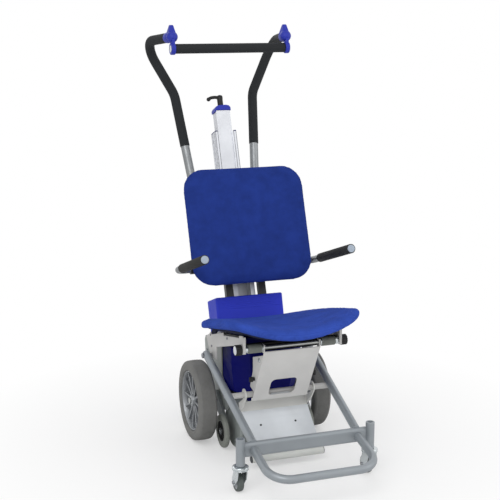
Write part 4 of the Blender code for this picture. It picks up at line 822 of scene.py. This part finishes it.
def seat_height(x, y):
    """Top of the seat solid, which climbs to the front and to both sides, in the solids' layout."""
    forward = SEAT_REAR_Y - y
    return SEAT_REAR_TOP + 0.157 * forward + (x / SEAT_HALF_X) ** 2 * (0.0126 + 0.107 * forward)


def boards():
    """The black back frame, the backrest's board, and the seat's board with its rim drawn up thin."""
    refined("back_frame", BLACK_PAINT, "chassis", 0.0012, angle=40)
    refined("back_board", BOARD_PAINT, "chassis", 0.0022)
    # The seat's board is tinted navy: painted shade of the pad's underside
    board = refined("seat_board", UNDERSIDE_SHADE_PAINT, "seat")
    middle = (SEAT_REAR_Y + SEAT_FRONT_Y) / 2
    for vert in board.data.vertices:
        x, y = vert.co.x, vert.co.y - SHIFT
        under = seat_height(x, y) - vert.co.z
        at_rim = (abs(x) / 0.165) ** 6 + (abs(y - middle) / 0.166) ** 6 > 1
        if at_rim and 0.0330 < under < 0.0375:
            vert.co.z += 0.0048


def arms():
    """A bent tube with a foam sleeve, a pale plug at the front and a bright ring behind the foam."""
    for side, name in SIDES:
        start = at(side * 0.126, *ARM_PIVOT)
        corner = at(side * ARM_X, *ARM_PIVOT)
        end = at(side * ARM_X, *ARM_END)
        along = (end - corner).normalized()
        work = bmesh.new()
        tube(work, bent_path((start, corner, end - along * 0.004), (0.028,), 4), 0.0118, 32)
        piece("arm_pipe_" + name, work, TUBE_METAL, "arm_" + name, "arm_tube_" + name)
        first = corner + along * 0.0690
        length = (end - along * 0.0035 - first).length
        foam = bmesh.new()
        spun(foam, [(0.0119, 0.0), (0.0138, 0.0), (0.0148, 0.0012), (0.0148, length - 0.0012),
                    (0.0138, length), (0.0119, length)], first, along, 40)
        piece("arm_sleeve_" + name, foam, ARM_FOAM, "arm_" + name, "arm_foam_" + name)
        plug = bmesh.new()
        spun(plug, [(0.0, 0.0032), (0.0090, 0.0030), (0.0116, 0.0018), (0.0122, 0.0), (0.0, 0.0)],
             end - along * 0.0034, along, 40)
        piece("arm_plug_" + name, plug, DISC_GREY, "arm_" + name)
        ring = bmesh.new()
        spun(ring, [(0.0119, -0.0030), (0.0143, -0.0026), (0.0147, -0.0014), (0.0147, -0.0002),
                    (0.0119, -0.0002)], first, along, 40)
        piece("arm_ring_" + name, ring, BRIGHT_STEEL, "arm_" + name)


# Mast, column and handles

def mast_turned(work):
    """Puts what was made in the mast's own directions in its place."""
    bmesh.ops.transform(work, matrix=MAST_TURN, verts=work.verts)


def mast():
    """The mast with a blue cap on each side channel and dark strips of painted shade in the grooves down its
    front, column and yoke.
    """
    refined("mast", MAST_METAL, "chassis", 0.0006)
    refined("column", MAST_METAL, "upper_handle", 0.0012)
    refined("yoke", PLATE_METAL, "upper_handle", 0.0010)
    caps = bmesh.new()
    groove_shade = bmesh.new()
    for side in (-1, 1):
        near, far = sorted((side * 0.0290, side * 0.0376))
        block(caps, (near, -0.0008, MAST_TOP + 0.0002), (far, 0.0486, MAST_TOP + 0.0032))
        # Thin dark strips at each side channel's edges: painted shade in the grooves
        for across in (side * 0.0285, side * 0.0368):
            block(groove_shade, (across - 0.0007, -0.0004, 0.885), (across + 0.0007, 0.0004, MAST_TOP - 0.0005))
    mast_turned(caps)
    mast_turned(groove_shade)
    piece("mast_end_caps", caps, DARK_BLUE, "chassis", bevel=0.0009)
    piece("mast_groove_shade", groove_shade, GROOVE_SHADE_GREY, "chassis")


def cap_and_lever():
    """A domed cap with a skirt down each side, and a lever on its hub."""
    cap = bmesh.new()
    section = ((-0.0285, -0.0048), (-0.0285, 0.0045), (-0.0240, 0.0125), (-0.0130, 0.0170),
               (0.0130, 0.0178), (0.0230, 0.0150), (0.0276, 0.0080), (0.0276, -0.0020),
               (0.0254, -0.0020), (0.0254, 0.0), (-0.0256, 0.0), (-0.0256, -0.0048))
    low = COLUMN_TOP + 0.0003
    thickened(cap, [(x, 0.0, low + up) for x, up in section], (0, 0.0448, 0))
    mast_turned(cap)
    piece("column_cap", cap, BLUE_PLASTIC, "upper_handle", "mast_cap", 35, 0.0024, 3)
    foot = Vector((0, 0.0235, COLUMN_TOP + 0.0184))
    hub = bmesh.new()
    spun(hub, [(0.0, 0.0), (0.0104, 0.0), (0.0104, 0.0040), (0.0098, 0.0056), (0.0098, 0.0250),
               (0.0104, 0.0275), (0.0104, 0.0345), (0.0084, 0.0376), (0.0, 0.0380)], foot, (0, 0, 1), 32)
    arm = [foot + Vector((x, 0, up)) for x, up in ((-0.004, 0.0315), (-0.018, 0.0330), (-0.032, 0.0315),
                                                   (-0.0410, 0.0262))]
    tube(hub, bent_path(arm, (0.02, 0.014), 6), 0.0056, 20, ends="round")
    bmesh.ops.create_uvsphere(hub, u_segments=24, v_segments=14, radius=0.0071,
                              matrix=Matrix.Translation(foot + Vector((-0.0405, 0, 0.0262))))
    mast_turned(hub)
    piece("lever_body", hub, BLACK_PLASTIC, "lever", "clamp_lever")
    tip = bmesh.new()
    spun(tip, [(0.0, 0.0398), (0.0046, 0.0396), (0.0058, 0.0384), (0.0058, 0.0372), (0.0, 0.0372)],
         foot, (0, 0, 1), 24)
    mast_turned(tip)
    piece("lever_tip", tip, DARK_BLUE, "lever")


def handle_line(side):
    """Corners of a handle tube: its low end, the bend outwards, the bend to the front and the front end."""
    low = on_mast(side * HANDLE_LOW_X, HANDLE_BACK, HANDLE_LOW)
    spread = HANDLE_SPREAD * (HANDLE_BEND - HANDLE_LOW)
    bend = on_mast(side * (HANDLE_LOW_X + spread), HANDLE_BACK, HANDLE_BEND)
    top = at(side * 0.237, 0.516, 1.273)
    end = at(side * 0.200, 0.300, 1.295)
    return low, bend, top, end


def handles():
    """The two bent tubes with their long foam sleeves."""
    for side, name in SIDES:
        low, bend, top, end = handle_line(side)
        work = bmesh.new()
        tube(work, bent_path((low, bend, top, end), HANDLE_BENDS_R), 0.0149, 32, wall=0.002)
        piece("handle_pipe_" + name, work, TUBE_METAL, "upper_handle", "handle_tube_" + name)
        first = low.lerp(bend, (HANDLE_SLEEVE_LOW - HANDLE_LOW) / (HANDLE_BEND - HANDLE_LOW))
        stop = end + (top - end).normalized() * 0.030
        sleeve = bmesh.new()
        tube(sleeve, bent_path((first, bend, top, stop), HANDLE_BENDS_R), 0.0164, 36)
        piece("handle_sleeve_" + name, sleeve, HANDLE_FOAM, "upper_handle", "grip_" + name)


def knuckles():
    """A ball on the tube's end with a fin over it, and a ring below that holds the cross grip."""
    for side, name in SIDES:
        top, end = handle_line(side)[2:]
        along = (end - top).normalized()
        work = bmesh.new()
        spun(work, [(0.0, 0.010), (0.0150, 0.010), (0.0178, 0.004), (0.0180, -0.022), (0.0172, -0.0262),
                    (0.0, -0.0262)], end, along, 40)
        bmesh.ops.create_uvsphere(work, u_segments=36, v_segments=20, radius=0.0190,
                                  matrix=Matrix.Translation(end + along * 0.010))
        bar = at(side * KNUCKLE_X, *GRIP_BAR)
        spun(work, [(0.0126, -0.0063), (0.0182, -0.0063), (0.0194, -0.0050), (0.0194, 0.0070),
                    (0.0182, 0.0083), (0.0126, 0.0083)], bar, (side, 0, 0), 44)
        bar_y, bar_z = GRIP_BAR
        side_block(work, side, KNUCKLE_X - 0.0045, KNUCKLE_X + 0.0055, (bar_y - 0.0120, bar_z + 0.0125),
                   (bar_y + 0.0125, bar_z + 0.0325))
        piece("knuckle_body_" + name, work, BLUE_PLASTIC, "upper_handle", "knuckle_" + name,
              40, 0.0010)
        fin = bmesh.new()
        foot = 1.2985
        tip = 1.3345
        for vert in block(fin, (bar.x - 0.0148, end.y - 0.0200, foot),
                          (bar.x + 0.0148, end.y + 0.0215, tip)):
            if vert.co.z > (foot + tip) / 2:
                vert.co.x = bar.x + (vert.co.x - bar.x) * 0.43
                vert.co.y = end.y + 0.0010 + (vert.co.y - end.y) * 0.28
        piece("knuckle_fin_" + name, fin, BLUE_PLASTIC, "upper_handle", bevel=0.0034,
              segments=3)
        disc = bmesh.new()
        spun(disc, [(0.0, 0.0102), (0.0085, 0.0100), (0.0122, 0.0086), (0.0122, -0.004), (0.0, -0.004)], bar,
             (side, 0, 0), 36)
        piece("grip_end_" + name, disc, BRIGHT_STEEL, "upper_handle")
    bar = bmesh.new()
    half = KNUCKLE_X - 0.0070
    spun(bar, [(0.0, -half), (0.0148, -half), (GRIP_R, 0.0014 - half), (GRIP_R, half - 0.0014),
               (0.0148, half), (0.0, half)], at(0, *GRIP_BAR), steps=44)
    piece("grip_sleeve", bar, HANDLE_FOAM, "upper_handle", "grip_bar")


# Battery

def battery():
    """The moulded case, with shallow ridges across the upper part of its front."""
    refined("battery", BATTERY_PLASTIC, "battery", 0.0055, segments=4)
    ridges = bmesh.new()
    for i in range(6):
        up = 0.4645 - 0.0062 * i
        front = -0.0440 + 0.008 * (0.4727 - up) / 0.1107
        block(ridges, (-0.104 + 0.003 * i, front - 0.0007, up - 0.0011), (0.107, front + 0.001, up + 0.0011))
    mast_turned(ridges)
    piece("battery_ridges", ridges, BATTERY_PLASTIC, "battery", bevel=0.0006)


wheels()
chassis()
rails()
front_tubes()
castors()
seat_carrier()
boards()
arms()
mast()
cap_and_lever()
handles()
knuckles()
battery()


# Upholstery

def pad_net(work, rim, surfaces, rings, count):
    """A closed pad: on the top and on the underside, rings of points shrink from its rim to its middle."""
    sheets = []
    for surface in surfaces:
        rows = []
        for share in rings:
            rows.append([work.verts.new(surface(rim(2 * pi * i / count), share)) for i in range(count)])
        middle = work.verts.new(surface(rim(0.0), 0.0))
        for outer, inner in zip(rows, rows[1:]):
            for i in range(count):
                work.faces.new((outer[i], outer[(i + 1) % count], inner[(i + 1) % count], inner[i]))
        for i in range(count):
            work.faces.new((rows[-1][i], rows[-1][(i + 1) % count], middle))
        sheets.append(rows[0])
    for i in range(count):
        work.faces.new((sheets[0][i], sheets[1][i], sheets[1][(i + 1) % count], sheets[0][(i + 1) % count]))


FILLING_STEPS = 20


def puffed(name, work, node, body, material, limit, keep):
    """Blows the pad up as cloth; no point goes further than the limit, and what it rests on stays flat."""
    bmesh.ops.remove_doubles(work, verts=work.verts, dist=0.00001)
    bmesh.ops.recalc_face_normals(work, faces=work.faces)
    data = bpy.data.meshes.new(name)
    work.to_mesh(data)
    work.free()
    made = bpy.data.objects.new(name, data)
    bpy.context.scene.collection.objects.link(made)
    remesh = made.modifiers.new("even_faces", "REMESH")
    remesh.mode = "VOXEL"
    remesh.voxel_size = 0.0055
    made.data = as_applied(made)
    made.modifiers.clear()
    start = [vert.co.copy() for vert in made.data.vertices]
    cloth = made.modifiers.new("filling", "CLOTH")
    cloth.settings.use_pressure = True
    cloth.settings.uniform_pressure_force = 4.0
    cloth.settings.effector_weights.gravity = 0.0
    cloth.settings.quality = 4
    cloth.settings.tension_stiffness = 12
    cloth.settings.compression_stiffness = 12
    cloth.settings.bending_stiffness = 1.2
    scene = bpy.context.scene
    for step in range(FILLING_STEPS):
        scene.frame_set(step + 1)
    filled = as_applied(made)
    made.modifiers.clear()
    for vert, place in zip(filled.vertices, start):
        move = vert.co - place
        free = keep(place)
        if move.length > limit * free:
            move *= limit * free / max(move.length, 1e-9)
        vert.co = place + move
    made.data = filled
    scene.frame_set(1)
    soften = made.modifiers.new("soft_skin", "SUBSURF")
    soften.levels = 1
    soften.render_levels = 1
    made.data.shade_smooth()
    made.data.materials.clear()
    made.data.materials.append(material)
    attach(made, body)
    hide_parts(node)
    return made


def as_applied(obj):
    graph = bpy.context.evaluated_depsgraph_get()
    graph.update()
    return bpy.data.meshes.new_from_object(obj.evaluated_get(graph))


def roll_off(share, reach, radius, depth):
    """How far the skin has come up at a place: a quarter of an ellipse at the edge, level further in."""
    inside = min(1.0, (1 - share) * reach / radius)
    return depth * sqrt(max(0.0, 1 - (1 - inside) ** 2))


RINGS = (1.0, 0.994, 0.985, 0.972, 0.955, 0.93, 0.895, 0.85, 0.79, 0.71, 0.61, 0.49, 0.35, 0.18)


def seat_pad():
    """A thin saddle-shaped cushion, squarish seen from above, whose skin wraps the board's edge."""
    middle = (SEAT_REAR_Y + SEAT_FRONT_Y) / 2
    half_x = 0.2172
    half_y = 0.2062
    core = 0.0160
    squareness = 4.8

    def rim(turn):
        total = abs(cos(turn)) ** squareness + abs(sin(turn)) ** squareness
        size = total ** (-1 / squareness)
        return half_x * size * cos(turn), half_y * size * sin(turn)

    def top(edge, share):
        x, y = edge[0] * share, middle + edge[1] * share
        reach = sqrt(edge[0] ** 2 + edge[1] ** 2)
        forward = (SEAT_REAR_Y - y) / (SEAT_REAR_Y - SEAT_FRONT_Y)
        wing = 0.0045 * forward * (x / SEAT_HALF_X) ** 2
        return at(x, y, seat_height(x, y) - core + wing + roll_off(share, reach, 0.019, 0.0142))

    def underside(edge, share):
        x, y = edge[0] * share, middle + edge[1] * share
        reach = sqrt(edge[0] ** 2 + edge[1] ** 2)
        inside = (1 - share) * reach
        depth = roll_off(share, reach, 0.011, 0.0150) if inside < 0.0155 else 0.0132
        return at(x, y, seat_height(x, y) - core - depth)

    work = bmesh.new()
    pad_net(work, rim, (top, underside), RINGS, 120)

    def keep(place):
        under = seat_height(place.x, place.y - SHIFT) - core - place.z
        return 0.12 if under > 0.007 else 1.0

    return puffed("seat_cushion", work, "seat_pad", "seat", SEAT_CLOTH, 0.0035, keep)


def back_pad():
    """A thick cushion with big round corners, level behind where it meets its board."""
    middle = (BACK_LOW + BACK_TOP) / 2
    half_x = 0.2100
    half_up = 0.1952
    corner = 0.072

    def rim(turn):
        """A rectangle with big round corners."""
        cx, cz = cos(turn), sin(turn)
        reach = min(half_x / max(abs(cx), 1e-6), half_up / max(abs(cz), 1e-6))
        x, z = cx * reach, cz * reach
        over_x = abs(x) - (half_x - corner)
        over_z = abs(z) - (half_up - corner)
        if over_x > 0 and over_z > 0:
            low, high = 0.0, reach
            for _ in range(40):
                trial = (low + high) / 2
                dx = abs(cx * trial) - (half_x - corner)
                dz = abs(cz * trial) - (half_up - corner)
                inside = dx <= 0 or dz <= 0 or dx * dx + dz * dz < corner * corner
                low, high = (trial, high) if inside else (low, trial)
            x, z = cx * low, cz * low
        return x, z

    seam = -0.1175

    def front(edge, share):
        back = seam - roll_off(share, sqrt(edge[0] ** 2 + edge[1] ** 2), 0.026, 0.0130)
        return MAST_TURN @ Vector((edge[0] * share, back, middle + edge[1] * share))

    def rear(edge, share):
        depth = 0.0330
        back = roll_off(share, sqrt(edge[0] ** 2 + edge[1] ** 2), 0.012, depth)
        size = share * (1 - 0.082 * min(1.0, back / depth))
        return MAST_TURN @ Vector((edge[0] * size, seam + back, middle + edge[1] * size))

    work = bmesh.new()
    pad_net(work, rim, (front, rear), RINGS, 120)
    back_turn = MAST_TURN.inverted()

    def keep(place):
        return 0.1 if (back_turn @ place).y > seam + 0.0235 else 1.0

    return puffed("back_cushion", work, "back_pad", "chassis", BACK_CLOTH, 0.0035, keep)


seat_pad()
back_pad()


# Studio

def studio():
    """A pale floor that fades into a white ground, and broad soft lamps."""
    work = bmesh.new()
    bmesh.ops.create_circle(work, cap_ends=True, segments=64, radius=6.0)
    data = bpy.data.meshes.new("studio_floor")
    work.to_mesh(data)
    work.free()
    floor = bpy.data.objects.new("studio_floor", data)
    bpy.context.scene.collection.objects.link(floor)
    material, tree, shader = new_material("studio_floor", 0.9, specular=0.1)
    shader.inputs["Base Color"].default_value = (0.97, 0.97, 0.97, 1)
    glow = add_node(tree, "ShaderNodeEmission", Strength=1.0)
    points = add_node(tree, "ShaderNodeTexCoord")
    length = add_node(tree, "ShaderNodeVectorMath", operation="LENGTH")
    tree.links.new(points.outputs["Object"], length.inputs[0])
    fade = add_node(tree, "ShaderNodeMapRange")
    fade.inputs["From Min"].default_value = 0.35
    fade.inputs["From Max"].default_value = 1.1
    fade.inputs["To Min"].default_value = 0.4
    tree.links.new(length.outputs["Value"], fade.inputs["Value"])
    rays = add_node(tree, "ShaderNodeLightPath")
    seen = add_node(tree, "ShaderNodeMath", operation="MULTIPLY")
    tree.links.new(fade.outputs["Result"], seen.inputs[0])
    tree.links.new(rays.outputs["Is Camera Ray"], seen.inputs[1])
    mixed = add_node(tree, "ShaderNodeMixShader")
    tree.links.new(seen.outputs["Value"], mixed.inputs["Fac"])
    tree.links.new(shader.outputs["BSDF"], mixed.inputs[1])
    tree.links.new(glow.outputs["Emission"], mixed.inputs[2])
    tree.links.new(mixed.outputs["Shader"], tree.nodes["Material Output"].inputs["Surface"])
    data.materials.append(material)
    world = bpy.data.worlds.new("studio_world")
    bpy.context.scene.world = world
    world.use_nodes = True
    air = world.node_tree
    plain = air.nodes["Background"]
    plain.inputs["Color"].default_value = (1, 1, 1, 1)
    plain.inputs["Strength"].default_value = 0.62
    white = add_node(air, "ShaderNodeBackground", Strength=1.0)
    white.inputs["Color"].default_value = (1, 1, 1, 1)
    path = add_node(air, "ShaderNodeLightPath")
    either = add_node(air, "ShaderNodeMath", operation="MAXIMUM")
    air.links.new(path.outputs["Is Camera Ray"], either.inputs[0])
    air.links.new(path.outputs["Is Glossy Ray"], either.inputs[1])
    mix = add_node(air, "ShaderNodeMixShader")
    air.links.new(either.outputs["Value"], mix.inputs["Fac"])
    air.links.new(plain.outputs["Background"], mix.inputs[1])
    air.links.new(white.outputs["Background"], mix.inputs[2])
    air.links.new(mix.outputs["Shader"], air.nodes["World Output"].inputs["Surface"])
    for name, place, size, power in (("key_lamp", (-1.6, -2.4, 3.0), 2.2, 46.0),
                                     ("fill_lamp", (2.6, -1.8, 2.0), 2.4, 18.0),
                                     ("rear_lamp", (0.4, 2.6, 2.6), 2.0, 14.0)):
        data = bpy.data.lights.new(name, "AREA")
        data.shape = "SQUARE"
        data.size = size
        data.energy = power
        lamp = bpy.data.objects.new(name, data)
        bpy.context.scene.collection.objects.link(lamp)
        lamp.location = place
        lamp.rotation_euler = (Vector((0, 0, 0.6)) - Vector(place)).to_track_quat("-Z", "Y").to_euler()
    bpy.context.scene.view_settings.view_transform = "Standard"


studio()

bpy.context.view_layer.update()
